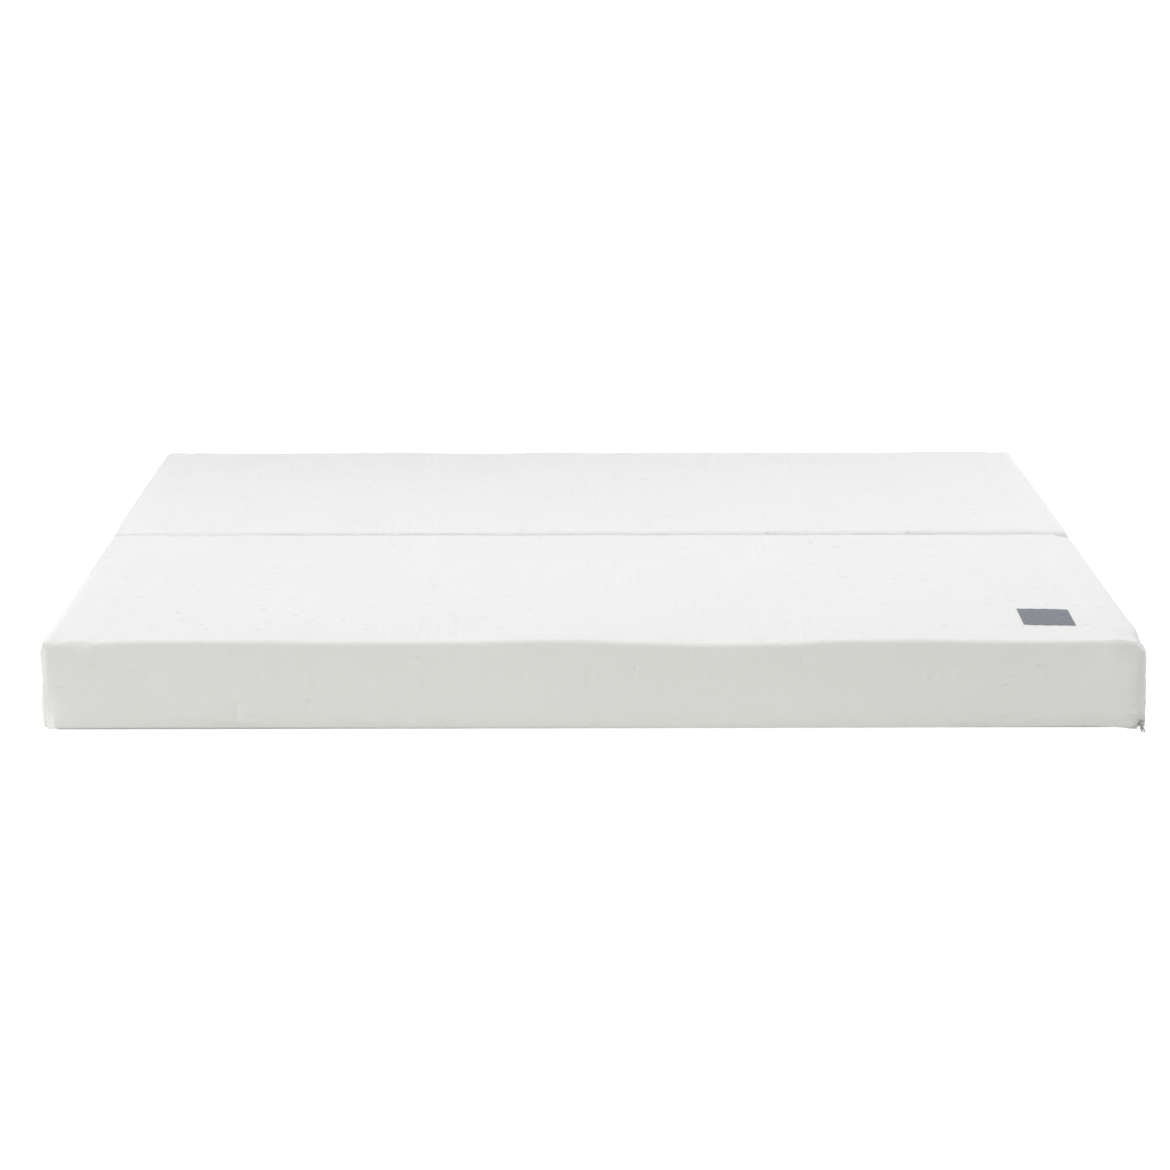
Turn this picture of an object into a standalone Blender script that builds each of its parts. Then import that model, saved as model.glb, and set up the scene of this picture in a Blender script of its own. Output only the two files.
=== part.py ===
"""Sofa bed mattress in two halves: foam slabs in zipped knit covers, joined by a strip along the fold.

The long side runs along X, the sleeper's head and feet lie along X too, and the front is towards -Y.
The front half is modelled in place. The rear half is the same half, turned round about Z.
Lengths are in metres, +Z is up, and the origin is on the floor under the middle of the fold.
"""

import math

import bmesh
import bpy
from mathutils import Matrix, Vector

# Whole mattress
MATTRESS_LENGTH = 1.900
HALF_DEPTH = 0.649
SIDE_HEIGHT = 0.156
FOLD_GAP = 0.002
HINGE_RISE = 0.0007  # fold axis above the highest point of the crown

# Outer form of one covered half
CROWN_HEIGHT = 0.0035
SIDE_DRAW = 0.0020  # how far the sides pull in between the corners
SIDE_BELLY = 0.0030  # how far the outer sides swell at mid-height
CORNER_RADIUS = 0.025
TOP_EDGE_RADIUS = 0.014
BOTTOM_EDGE_RADIUS = 0.006
EDGE_DIP = 0.0035  # the soft dip in the long top edge
EDGE_DIP_PLACE_SHARE = 0.28
EDGE_DIP_WIDTH_SHARE = 0.11
CROSS_CUT_SHARES = (-0.97, -0.9, -0.75, -0.5, -0.25, 0.0, 0.16, 0.28, 0.40, 0.58, 0.78, 0.9, 0.97)
LONG_CUT_SHARES = (-0.9, -0.7, -0.35, 0.0, 0.35, 0.7, 0.9)
LEVEL_CUT_SHARES = (0.0, 0.16, 0.38, 0.62, 0.84)  # of the side above the zip band
CORNER_STEPS = 4
TOP_EDGE_STEPS = 3
BOTTOM_EDGE_STEPS = 2

# Cover and its seams
COVER_WALL = 0.0027
END_SEAM_INSET = 0.008  # end panels reach this far round the corners
BASE_RIM_HEIGHT = 0.008  # base panel turns up this far
FOLD_SEAM_DEPTH = 0.018  # below the side height, on the fold side
HEM_WALL = 0.0010
HEM_HEIGHT = 0.0145  # lower edge of the front hem above the floor
FIT_GAP = 0.0003
CUT_OVERRUN = 0.020
FLAT_ANGLE = math.radians(0.02)  # faces that turn less than this are one face
SHARP_ANGLE = math.radians(35)

# Zip along the foot of the long outer side
ZIP_HEIGHT = 0.0065  # middle of the zip above the floor
TAPE_WALL = 0.0007
TAPE_UPPER_TOP = 0.020
TAPE_TURN_UNDER = 0.012
TAPE_FLOOR_GAP = 0.0003
TAPE_START_INSET = 0.020  # tapes start this far from the slider-free end
TAPE_TAIL_OVERHANG = 0.0035  # tapes end this far past the slider's end of the mattress
COIL_WIDTH = 0.0022
COIL_THICKNESS = 0.0020
COIL_EDGE_STEPS = 2
SLIT_WIDTH = 0.0016  # between the two rows, for the slider's divider
STOP_LENGTH = 0.0018
STOP_WALL = 0.0005
STOP_END_INSET = 0.0012

# Slider
SLIDER_LENGTH = 0.011
SLIDER_PLATE = 0.0012
SLIDER_FLANGE = 0.0010
SLIDER_NOSE_FLARE = 0.0005  # each side is wider by this at the nose
SLIDER_CORNER = 0.0014
SLIDER_STOP_GAP = 0.0005
RUN_CLEARANCE = 0.0004
DIVIDER_WIDTH = 0.0010
DIVIDER_LENGTH = 0.0032
DIVIDER_PLACE_SHARE = 0.22  # of the slider's length, from its middle towards the nose
BAIL_WIRE = 0.0014
BAIL_SPAN = 0.0064
BAIL_BEND = 0.0008
BAIL_BEND_STEPS = 3

# Pull
PULL_REACH = 0.024  # from the bail's wire to the tip
PULL_WALL = 0.0012
PULL_TIP_WIDTH = 0.0078
PULL_NECK_WIDTH = 0.0034
PULL_TIP_ROUND = 0.0024
PULL_SHOULDER_SHARE = 0.5  # where the tab starts to narrow, from the tip
PULL_TAPER_LENGTH = 0.0064
PULL_EYE_LENGTH = 0.0052
PULL_EYE_WIDTH = 0.0036
PULL_EYE_INSET = 0.0018
KNUCKLE_WALL = 0.0008
KNUCKLE_CLEARANCE = 0.0004
KNUCKLE_WIDTH = 0.0036

# Fold strip
STRIP_WALL = 0.0007
STRIP_SEAM_ANGLE = math.radians(42)  # round the top edges, from straight up
STRIP_SAG = 0.0012
STRIP_END_INSET = 0.030
STRIP_STEPS = 6

# Label
LABEL_WIDTH = 0.090
LABEL_DEPTH = 0.088
LABEL_WALL = 0.0010
LABEL_CORNER = 0.0015
LABEL_END_INSET = 0.1525  # label's middle from the right end
LABEL_FRONT_INSET = 0.127  # label's middle behind the front face
LABEL_TURN = math.radians(-1.0)
LABEL_CUTS = 4

# Places worked out from the sizes above
HALF_LENGTH = MATTRESS_LENGTH / 2
HALF_CENTRE_Y = -(FOLD_GAP + HALF_DEPTH) / 2
OUTER_FACE_Y = -(FOLD_GAP / 2 + HALF_DEPTH)
FOLD_AXIS_Z = SIDE_HEIGHT + CROWN_HEIGHT + HINGE_RISE
FOAM_INSET = COVER_WALL + FIT_GAP
FOAM_FACE_Y = OUTER_FACE_Y + FOAM_INSET
END_SEAM_X = HALF_LENGTH - END_SEAM_INSET
LABEL_X = HALF_LENGTH - LABEL_END_INSET
ZIP_BAND_TOP = TAPE_UPPER_TOP + FIT_GAP  # below this the sides stay straight
TAPE_OUT_Y = OUTER_FACE_Y + HEM_WALL + FIT_GAP
TAPE_IN_Y = TAPE_OUT_Y + TAPE_WALL
COIL_IN_Y = TAPE_OUT_Y - FIT_GAP
COIL_OUT_Y = COIL_IN_Y - COIL_THICKNESS
FRONT_PLATE_IN_Y = COIL_OUT_Y - RUN_CLEARANCE
FRONT_PLATE_OUT_Y = FRONT_PLATE_IN_Y - SLIDER_PLATE
REAR_PLATE_OUT_Y = TAPE_IN_Y + RUN_CLEARANCE
REAR_PLATE_IN_Y = REAR_PLATE_OUT_Y + SLIDER_PLATE
TAPE_START_X = -(HALF_LENGTH - TAPE_START_INSET)
TAPE_END_X = HALF_LENGTH + TAPE_TAIL_OVERHANG
TOP_STOP_X = TAPE_END_X - STOP_END_INSET - STOP_LENGTH / 2
SLIDER_X = TOP_STOP_X - STOP_LENGTH / 2 - SLIDER_STOP_GAP - SLIDER_LENGTH / 2
SLIDER_MOUTH_HALF = SLIT_WIDTH / 2 + COIL_WIDTH + RUN_CLEARANCE + SLIDER_FLANGE
SLIDER_NOSE_HALF = SLIDER_MOUTH_HALF + SLIDER_NOSE_FLARE
KNUCKLE_BORE = BAIL_WIRE / 2 + KNUCKLE_CLEARANCE
KNUCKLE_RADIUS = KNUCKLE_BORE + KNUCKLE_WALL
BAIL_RISE = KNUCKLE_RADIUS + RUN_CLEARANCE
BAIL_Y = FRONT_PLATE_OUT_Y - BAIL_RISE
PULL_LEAN = math.asin((ZIP_HEIGHT - FIT_GAP - PULL_WALL / 2) / PULL_REACH)


def clear_scene():
    for item in list(bpy.data.objects):
        bpy.data.objects.remove(item, do_unlink=True)


def new_collection(name):
    made = bpy.data.collections.new(name)
    bpy.context.scene.collection.children.link(made)
    return made


def new_material(name, colour, roughness, metallic=0.0):
    made = bpy.data.materials.new(name)
    made.use_nodes = True
    shader = made.node_tree.nodes["Principled BSDF"]
    shader.inputs["Base Color"].default_value = (*colour, 1.0)
    shader.inputs["Roughness"].default_value = roughness
    shader.inputs["Metallic"].default_value = metallic
    made.diffuse_color = (*colour, 1.0)
    return made


def put(name, mesh, collection, material=None, location=(0, 0, 0)):
    made = bpy.data.objects.new(name, mesh)
    made.location = location
    collection.objects.link(made)
    if material is not None and not mesh.materials:
        mesh.materials.append(material)
    return made


def to_mesh(name, bm):
    mesh = bpy.data.meshes.new(name)
    bm.to_mesh(mesh)
    bm.free()
    return mesh


def block(low, high, edge_radius=0.0, steps=1):
    """A box from its two corners, its edges rounded when a radius is given."""
    bm = bmesh.new()
    size = Vector(high) - Vector(low)
    bmesh.ops.create_cube(bm, size=1.0)
    bmesh.ops.scale(bm, vec=size, verts=bm.verts)
    bmesh.ops.translate(bm, vec=(Vector(high) + Vector(low)) / 2, verts=bm.verts)
    if edge_radius > 0:
        bmesh.ops.bevel(
            bm, geom=bm.edges[:], offset=edge_radius, segments=steps, profile=0.5, affect="EDGES"
        )
    return bm


def cutter(low, high):
    made = put("cutter", to_mesh("cutter", block(low, high)), cutters)
    made.hide_render = True
    made.display_type = "WIRE"
    return made


def combine(body, other, operation):
    """Adds a Boolean of another object to a body."""
    modifier = body.modifiers.new(operation.title(), "BOOLEAN")
    modifier.operation = operation
    modifier.object = other
    modifier.solver = "EXACT"
    if other.name not in cutters.objects:
        for holder in list(other.users_collection):
            holder.objects.unlink(other)
        cutters.objects.link(other)
    other.hide_render = True
    other.display_type = "WIRE"


def baked(source, name, merge=FIT_GAP / 100):
    """The evaluated mesh of an object in world space, with its flat faces joined up."""
    bpy.context.view_layer.update()
    seen = source.evaluated_get(bpy.context.evaluated_depsgraph_get())
    mesh = bpy.data.meshes.new_from_object(seen)
    mesh.transform(source.matrix_world)
    bm = bmesh.new()
    bm.from_mesh(mesh)
    bmesh.ops.remove_doubles(bm, verts=bm.verts, dist=merge)
    bmesh.ops.dissolve_limit(
        bm, angle_limit=FLAT_ANGLE, verts=bm.verts, edges=bm.edges, delimit=set()
    )
    bmesh.ops.triangulate(bm, faces=bm.faces, quad_method="BEAUTY", ngon_method="BEAUTY")
    bm.to_mesh(mesh)
    bm.free()
    mesh.name = name
    mesh.materials.clear()
    return mesh


def bake_into(source, name, collection, material):
    """Replaces a modelled object by its finished mesh, with smooth faces between sharp edges."""
    mesh = baked(source, name)
    bpy.data.objects.remove(source, do_unlink=True)
    mesh.shade_smooth()
    mesh.set_sharp_from_angle(angle=SHARP_ANGLE)
    return put(name, mesh, collection, material)


def top_rise(x, y):
    """How far the top lies above the side height: a crown, less the dip in the outer long edge."""
    u = max(-1.0, min(1.0, x / HALF_LENGTH))
    v = max(-1.0, min(1.0, (y - HALF_CENTRE_Y) / (HALF_DEPTH / 2)))
    crown = CROWN_HEIGHT * (1 - u**4) * (1 - v**4)
    dip = math.exp(-(((u - EDGE_DIP_PLACE_SHARE) / EDGE_DIP_WIDTH_SHARE) ** 2))
    return crown - EDGE_DIP * dip * max(0.0, -v) ** 3


def soften(bm):
    """Crowns the top, draws the sides in between the corners and swells the outer ones.

    The zip band stays straight, and so does the side in the fold, which the other half presses flat.
    """
    for vert in bm.verts:
        x, y, z = vert.co
        u = max(-1.0, min(1.0, x / HALF_LENGTH))
        v = max(-1.0, min(1.0, (y - HALF_CENTRE_Y) / (HALF_DEPTH / 2)))
        lift = max(0.0, (z - ZIP_BAND_TOP) / (SIDE_HEIGHT - ZIP_BAND_TOP))
        drawn = SIDE_DRAW * min(1.0, 4 * lift)
        swell = SIDE_BELLY * 4 * lift * (1 - lift)
        vert.co.x += math.copysign((swell - drawn * (1 - v**4)) * u**8, u)
        vert.co.y -= math.copysign(drawn * (1 - u**4) * v**8, v)
        if v < 0:
            vert.co.y -= swell * v**8
        if z > SIDE_HEIGHT / 2:
            vert.co.z += top_rise(x, y) * (2 * z / SIDE_HEIGHT - 1)


def soft_form(inset):
    """The half's outer form, or one nested inside it by an even inset."""
    low = Vector((-HALF_LENGTH + inset, OUTER_FACE_Y + inset, inset))
    high = Vector((HALF_LENGTH - inset, -FOLD_GAP / 2 - inset, SIDE_HEIGHT - inset))
    bm = block(low, high)

    def round_off(chosen, radius, steps):
        edges = [e for e in bm.edges if chosen(e)]
        bmesh.ops.bevel(bm, geom=edges, offset=radius, segments=steps, profile=0.5, affect="EDGES")

    def level(edge, z):
        return all(abs(v.co.z - z) < FIT_GAP for v in edge.verts)

    round_off(
        lambda e: abs(e.verts[0].co.z - e.verts[1].co.z) > SIDE_HEIGHT / 2,
        CORNER_RADIUS - inset,
        CORNER_STEPS,
    )
    round_off(lambda e: level(e, high.z), TOP_EDGE_RADIUS - inset, TOP_EDGE_STEPS)
    round_off(lambda e: level(e, low.z), BOTTOM_EDGE_RADIUS - inset, BOTTOM_EDGE_STEPS)
    across = [((s * HALF_LENGTH, 0, 0), (1, 0, 0)) for s in CROSS_CUT_SHARES]
    along = [((0, HALF_CENTRE_Y + s * HALF_DEPTH / 2, 0), (0, 1, 0)) for s in LONG_CUT_SHARES]
    side_top = SIDE_HEIGHT - TOP_EDGE_RADIUS
    levels = [ZIP_BAND_TOP + s * (side_top - ZIP_BAND_TOP) for s in LEVEL_CUT_SHARES]
    upright = [((0, 0, z), (0, 0, 1)) for z in levels]
    for point, normal in across + along + upright:
        geometry = bm.verts[:] + bm.edges[:] + bm.faces[:]
        bmesh.ops.bisect_plane(bm, geom=geometry, plane_co=point, plane_no=normal)
    soften(bm)
    return bm


def cover_shell(name):
    """The closed cover of one half before it is parted along its seams."""
    shell = put(name, to_mesh(name, soft_form(0.0)), parts)
    hollow = put(name + "_hollow", to_mesh(name + "_hollow", soft_form(COVER_WALL)), cutters)
    combine(shell, hollow, "DIFFERENCE")
    return shell


def outside_low():
    """A corner beyond the half, from which cutters run clear of it."""
    return Vector((-HALF_LENGTH - CUT_OVERRUN, OUTER_FACE_Y - CUT_OVERRUN, -CUT_OVERRUN))


def outside_high():
    """The opposite corner, past the fold and above the top."""
    return Vector((HALF_LENGTH + CUT_OVERRUN, CUT_OVERRUN, SIDE_HEIGHT + CUT_OVERRUN))


def make_foam():
    """The slab, with a chase behind the zip where the slider's rear plate presses it aside."""
    foam = put("foam", to_mesh("foam", soft_form(FOAM_INSET)), parts)
    chase_low = outside_low()
    chase_high = outside_high()
    chase_high.y = REAR_PLATE_IN_Y + RUN_CLEARANCE
    chase_high.z = ZIP_HEIGHT + SLIDER_NOSE_HALF + RUN_CLEARANCE
    combine(foam, cutter(chase_low, chase_high), "DIFFERENCE")
    return bake_into(foam, "front_foam_core", parts, foam_white)


def make_top_panel():
    """One knit panel over the top and down the outer long side to the zip's hem."""
    panel = cover_shell("top_panel")
    low, high = outside_low(), outside_high()
    low.x = -END_SEAM_X + FIT_GAP
    high.x = END_SEAM_X - FIT_GAP
    low.z = BASE_RIM_HEIGHT + FIT_GAP
    combine(panel, cutter(low, high), "INTERSECT")

    low, high = outside_low(), outside_high()
    low.y = HALF_CENTRE_Y
    high.z = SIDE_HEIGHT - FOLD_SEAM_DEPTH + FIT_GAP / 2
    combine(panel, cutter(low, high), "DIFFERENCE")

    low, high = outside_low(), outside_high()
    low.x = TAPE_START_X - FIT_GAP
    high.y = HALF_CENTRE_Y
    high.z = HEM_HEIGHT
    combine(panel, cutter(low, high), "DIFFERENCE")

    low.y = OUTER_FACE_Y + HEM_WALL
    high.y = FOAM_FACE_Y
    high.z = ZIP_BAND_TOP
    combine(panel, cutter(low, high), "DIFFERENCE")
    return bake_into(panel, "front_cover_top", parts, knit_white)


def make_end_panel(side, name):
    """A boxed end, sewn to the other panels just round the corners."""
    panel = cover_shell(name)
    low, high = outside_low(), outside_high()
    low.z = BASE_RIM_HEIGHT + FIT_GAP
    if side > 0:
        low.x = END_SEAM_X
    else:
        high.x = -END_SEAM_X
    combine(panel, cutter(low, high), "INTERSECT")
    return bake_into(panel, name, parts, knit_white)


def make_fold_side():
    """The inner long side, sewn to the top panel below its rounded edge."""
    panel = cover_shell("fold_side")
    low, high = outside_low(), outside_high()
    low.x = -END_SEAM_X + FIT_GAP
    high.x = END_SEAM_X - FIT_GAP
    low.y = HALF_CENTRE_Y
    low.z = BASE_RIM_HEIGHT + FIT_GAP
    high.z = SIDE_HEIGHT - FOLD_SEAM_DEPTH - FIT_GAP / 2
    combine(panel, cutter(low, high), "INTERSECT")
    return bake_into(panel, "front_cover_fold_side", parts, knit_white)


def make_base_panel():
    """The underside, turned up into a low rim all round except along the zip."""
    panel = cover_shell("base")
    low, high = outside_low(), outside_high()
    high.z = BASE_RIM_HEIGHT
    combine(panel, cutter(low, high), "INTERSECT")
    high.x = END_SEAM_X
    low.x = -END_SEAM_X
    high.y = TAPE_OUT_Y + TAPE_TURN_UNDER + FIT_GAP
    combine(panel, cutter(low, high), "DIFFERENCE")
    return bake_into(panel, "front_cover_base", parts, base_cloth)


def make_upper_tape():
    """The upper tape stands behind the hem and reaches down to the slit."""
    low = (TAPE_START_X, TAPE_OUT_Y, ZIP_HEIGHT + SLIT_WIDTH / 2)
    high = (TAPE_END_X, TAPE_IN_Y, TAPE_UPPER_TOP)
    return put("front_zip_upper_tape", to_mesh("upper_tape", block(low, high)), parts, tape_white)


def make_lower_tape():
    """The lower tape hangs from the slit and turns in under the foam, where the base is sewn on."""
    middle_y = TAPE_OUT_Y + TAPE_WALL / 2
    under_z = TAPE_FLOOR_GAP + TAPE_WALL / 2
    bm = bmesh.new()
    path = [
        (middle_y, ZIP_HEIGHT - SLIT_WIDTH / 2),
        (middle_y, under_z + TAPE_WALL),
        (middle_y + TAPE_WALL / 3, under_z + TAPE_WALL / 3),
        (middle_y + TAPE_WALL, under_z),
        (TAPE_OUT_Y + TAPE_TURN_UNDER, under_z),
    ]
    row = [bm.verts.new((TAPE_START_X, y, z)) for y, z in path]
    edges = [bm.edges.new(pair) for pair in zip(row, row[1:])]
    drawn = bmesh.ops.extrude_edge_only(bm, edges=edges)
    moved = [v for v in drawn["geom"] if isinstance(v, bmesh.types.BMVert)]
    bmesh.ops.translate(bm, vec=(TAPE_END_X - TAPE_START_X, 0, 0), verts=moved)
    tape = put("lower_tape", to_mesh("lower_tape", bm), parts)
    wall = tape.modifiers.new("Wall", "SOLIDIFY")
    wall.thickness = TAPE_WALL
    wall.offset = 0.0
    wall.use_even_offset = True
    low, high = outside_low(), outside_high()
    low.x = HALF_LENGTH - TAPE_START_INSET
    low.y = TAPE_IN_Y + FIT_GAP / 10
    combine(tape, cutter(low, high), "DIFFERENCE")
    return bake_into(tape, "front_zip_lower_tape", parts, tape_white)


def make_coil(side, name):
    """One row of the chain, as a rounded bar on its tape."""
    near = ZIP_HEIGHT + side * SLIT_WIDTH / 2
    far_edge = near + side * COIL_WIDTH
    low = (TAPE_START_X + STOP_END_INSET, COIL_OUT_Y, min(near, far_edge))
    high = (TAPE_END_X - STOP_END_INSET, COIL_IN_Y, max(near, far_edge))
    bm = block(low, high, COIL_THICKNESS / 4, COIL_EDGE_STEPS)
    return put(name, to_mesh(name, bm), parts, coil_white)


def clamp_stop(name, x, low_z, high_z):
    """A small metal clip that grips the chain from the front, open towards the tape."""
    half = STOP_LENGTH / 2
    grip = FIT_GAP
    outer_low = (x - half, COIL_OUT_Y - STOP_WALL - grip, low_z - STOP_WALL - grip)
    outer_high = (x + half, COIL_IN_Y, high_z + STOP_WALL + grip)
    clip = put("clip", to_mesh("clip", block(outer_low, outer_high)), parts)
    inner_low = (x - STOP_LENGTH, COIL_OUT_Y - grip, low_z - grip)
    inner_high = (x + STOP_LENGTH, COIL_IN_Y + CUT_OVERRUN, high_z + grip)
    combine(clip, cutter(inner_low, inner_high), "DIFFERENCE")
    return bake_into(clip, name, parts, nickel)


def make_stops():
    """One stop over both rows at the chain's start and one on each row at its end."""
    inner = SLIT_WIDTH / 2
    reach = inner + COIL_WIDTH
    start_x = TAPE_START_X + STOP_END_INSET + STOP_LENGTH
    clamp_stop("front_zip_bottom_stop", start_x, ZIP_HEIGHT - reach, ZIP_HEIGHT + reach)
    for word, side in (("upper", 1), ("lower", -1)):
        ends = sorted((ZIP_HEIGHT + side * (inner + STOP_WALL), ZIP_HEIGHT + side * reach))
        stop_on_row(f"front_zip_{word}_top_stop", TOP_STOP_X, ends)


def stop_on_row(name, x, ends):
    """A clip over the outer part of one row, clear of the slit."""
    low = (x - STOP_LENGTH / 2, COIL_OUT_Y - FIT_GAP - STOP_WALL, ends[0])
    high = (x + STOP_LENGTH / 2, COIL_OUT_Y - FIT_GAP, ends[1])
    mesh = to_mesh(name, block(low, high, STOP_WALL / 4))
    return put(name, mesh, parts, nickel)


def slider_plate(name, y_low, y_high):
    """One flat plate of the slider, wider at the nose than at the mouth, with rounded corners."""
    half = SLIDER_LENGTH / 2
    bm = block((-half, y_low, -SLIDER_MOUTH_HALF), (half, y_high, SLIDER_MOUTH_HALF))
    for vert in bm.verts:
        if vert.co.x > 0:
            vert.co.z = math.copysign(SLIDER_NOSE_HALF, vert.co.z)
    corners = [e for e in bm.edges if abs(e.verts[0].co.y - e.verts[1].co.y) > SLIDER_PLATE / 2]
    bmesh.ops.bevel(
        bm, geom=corners, offset=SLIDER_CORNER, segments=4, profile=0.5, affect="EDGES"
    )
    return put(name, to_mesh(name, bm), parts)


def slider_flange(side):
    """The rim along one side of the front plate that keeps a row in the channel."""
    half = SLIDER_LENGTH / 2 - SLIDER_CORNER
    low_y = FRONT_PLATE_IN_Y - SLIDER_PLATE / 2
    high_y = TAPE_OUT_Y - RUN_CLEARANCE
    inner = SLIDER_MOUTH_HALF - SLIDER_FLANGE
    outer = SLIDER_MOUTH_HALF - SLIDER_FLANGE / 8
    bm = block((-half, low_y, inner), (half, high_y, outer))
    for vert in bm.verts:
        along = (vert.co.x / SLIDER_LENGTH) + 1 / 2
        vert.co.z = side * (vert.co.z + SLIDER_NOSE_FLARE * along)
    bmesh.ops.recalc_face_normals(bm, faces=bm.faces)
    return put("flange", to_mesh("flange", bm), parts)


def divider_post():
    """The wedge between the plates that parts the two rows."""
    bm = bmesh.new()
    depth = REAR_PLATE_IN_Y - FRONT_PLATE_OUT_Y - SLIDER_PLATE
    bmesh.ops.create_cone(
        bm, cap_ends=True, segments=8, radius1=DIVIDER_WIDTH / 2, radius2=DIVIDER_WIDTH / 2,
        depth=depth, matrix=Matrix.Rotation(math.pi / 2, 4, "X")
    )
    bmesh.ops.scale(bm, vec=(DIVIDER_LENGTH / DIVIDER_WIDTH, 1, 1), verts=bm.verts)
    middle = (FRONT_PLATE_OUT_Y + REAR_PLATE_IN_Y) / 2
    place = (DIVIDER_PLACE_SHARE * SLIDER_LENGTH, middle, 0)
    bmesh.ops.translate(bm, vec=place, verts=bm.verts)
    return put("divider", to_mesh("divider", bm), parts)


def wire_mesh(name, points, thickness):
    """A round wire through points, as a closed mesh."""
    curve = bpy.data.curves.new(name, "CURVE")
    curve.dimensions = "3D"
    curve.bevel_depth = thickness / 2
    curve.bevel_resolution = 2
    curve.use_fill_caps = True
    spline = curve.splines.new("POLY")
    spline.points.add(len(points) - 1)
    for point, place in zip(spline.points, points):
        point.co = (*place, 1.0)
    holder = put(name, curve, parts)
    mesh = baked(holder, name, merge=thickness / 1000)
    bpy.data.objects.remove(holder, do_unlink=True)
    return mesh


def bail_wire():
    """The arch on the front plate that carries the pull."""
    half = BAIL_SPAN / 2
    foot = FRONT_PLATE_OUT_Y + SLIDER_PLATE / 2
    centre = (half - BAIL_BEND, BAIL_Y + BAIL_BEND)
    bend = arc(centre, BAIL_BEND, 0, -90, BAIL_BEND_STEPS)
    right = [(half, foot, 0)] + [(x, y, 0) for x, y in bend]
    left = [(-x, y, z) for x, y, z in reversed(right)]
    return put("bail", wire_mesh("bail", right + left, BAIL_WIRE), parts)


def make_slider():
    """Plates, flanges, divider and bail joined into the cast slider, then set on the zip."""
    body = slider_plate("slider", FRONT_PLATE_OUT_Y, FRONT_PLATE_IN_Y)
    rear = slider_plate("rear_plate", REAR_PLATE_OUT_Y, REAR_PLATE_IN_Y)
    for piece in (rear, slider_flange(1), slider_flange(-1), divider_post(), bail_wire()):
        combine(body, piece, "UNION")
    made = bake_into(body, "front_zip_slider", parts, nickel)
    made.data.transform(Matrix.Translation((SLIDER_X, 0, ZIP_HEIGHT)))
    return made


def curve_outline(name, outlines, thickness):
    """A flat plate from closed 2D outlines, the later ones being holes in the first."""
    curve = bpy.data.curves.new(name, "CURVE")
    curve.dimensions = "2D"
    curve.fill_mode = "BOTH"
    curve.extrude = thickness / 2
    for outline in outlines:
        spline = curve.splines.new("POLY")
        spline.points.add(len(outline) - 1)
        spline.use_cyclic_u = True
        for point, (x, y) in zip(spline.points, outline):
            point.co = (x, y, 0, 1)
    holder = put(name, curve, parts)
    mesh = baked(holder, name, merge=thickness / 1000)
    bpy.data.objects.remove(holder, do_unlink=True)
    return mesh


def arc(centre, radius, start, end, steps):
    """Points along an arc, its angles in degrees."""
    turn = [math.radians(start + (end - start) * i / steps) for i in range(steps + 1)]
    return [(centre[0] + radius * math.cos(t), centre[1] + radius * math.sin(t)) for t in turn]


def pull_plate():
    """The flat tab, its neck at the knuckle and an oval eye near the tip."""
    tip = -PULL_REACH
    half = PULL_TIP_WIDTH / 2
    neck = PULL_NECK_WIDTH / 2
    corner = half - PULL_TIP_ROUND
    outline = arc((-corner, tip + PULL_TIP_ROUND), PULL_TIP_ROUND, 180, 270, 4)
    outline += arc((corner, tip + PULL_TIP_ROUND), PULL_TIP_ROUND, 270, 360, 4)
    shoulder = tip + PULL_SHOULDER_SHARE * PULL_REACH
    root = -KNUCKLE_BORE - KNUCKLE_WALL / 2
    right = [(half, shoulder), (neck, shoulder + PULL_TAPER_LENGTH), (neck, root)]
    outline += right + [(-x, y) for x, y in reversed(right)]
    eye = PULL_EYE_WIDTH / 2
    eye_low = tip + PULL_EYE_INSET + eye
    eye_high = tip + PULL_EYE_INSET + PULL_EYE_LENGTH - eye
    hole = arc((0, eye_high), eye, 0, 180, 6) + arc((0, eye_low), eye, 180, 360, 6)
    mesh = curve_outline("tab", [outline, hole], PULL_WALL)
    mesh.transform(Matrix.Rotation(math.pi / 2, 4, "X"))
    return put("tab", mesh, parts)


def knuckle():
    """The rolled end of the pull, round the bail's wire."""
    turned = Matrix.Rotation(math.pi / 2, 4, "Y")
    outer, bore = bmesh.new(), bmesh.new()
    bmesh.ops.create_cone(
        outer, cap_ends=True, segments=16, radius1=KNUCKLE_RADIUS, radius2=KNUCKLE_RADIUS,
        depth=KNUCKLE_WIDTH, matrix=turned
    )
    bmesh.ops.create_cone(
        bore, cap_ends=True, segments=16, radius1=KNUCKLE_BORE, radius2=KNUCKLE_BORE,
        depth=KNUCKLE_WIDTH + 2 * CUT_OVERRUN, matrix=turned
    )
    rolled = put("knuckle", to_mesh("knuckle", outer), parts)
    return rolled, put("bore", to_mesh("bore", bore), parts)


def make_pull():
    """The pull hangs from the bail and rests its tip on the floor in front of the mattress."""
    body, bore = knuckle()
    combine(body, pull_plate(), "UNION")
    combine(body, bore, "DIFFERENCE")
    made = bake_into(body, "front_zip_pull", parts, nickel)
    lean = Matrix.Rotation(PULL_LEAN - math.pi / 2, 4, "X")
    made.data.transform(Matrix.Translation((SLIDER_X, BAIL_Y, ZIP_HEIGHT)) @ lean)
    return made


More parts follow.
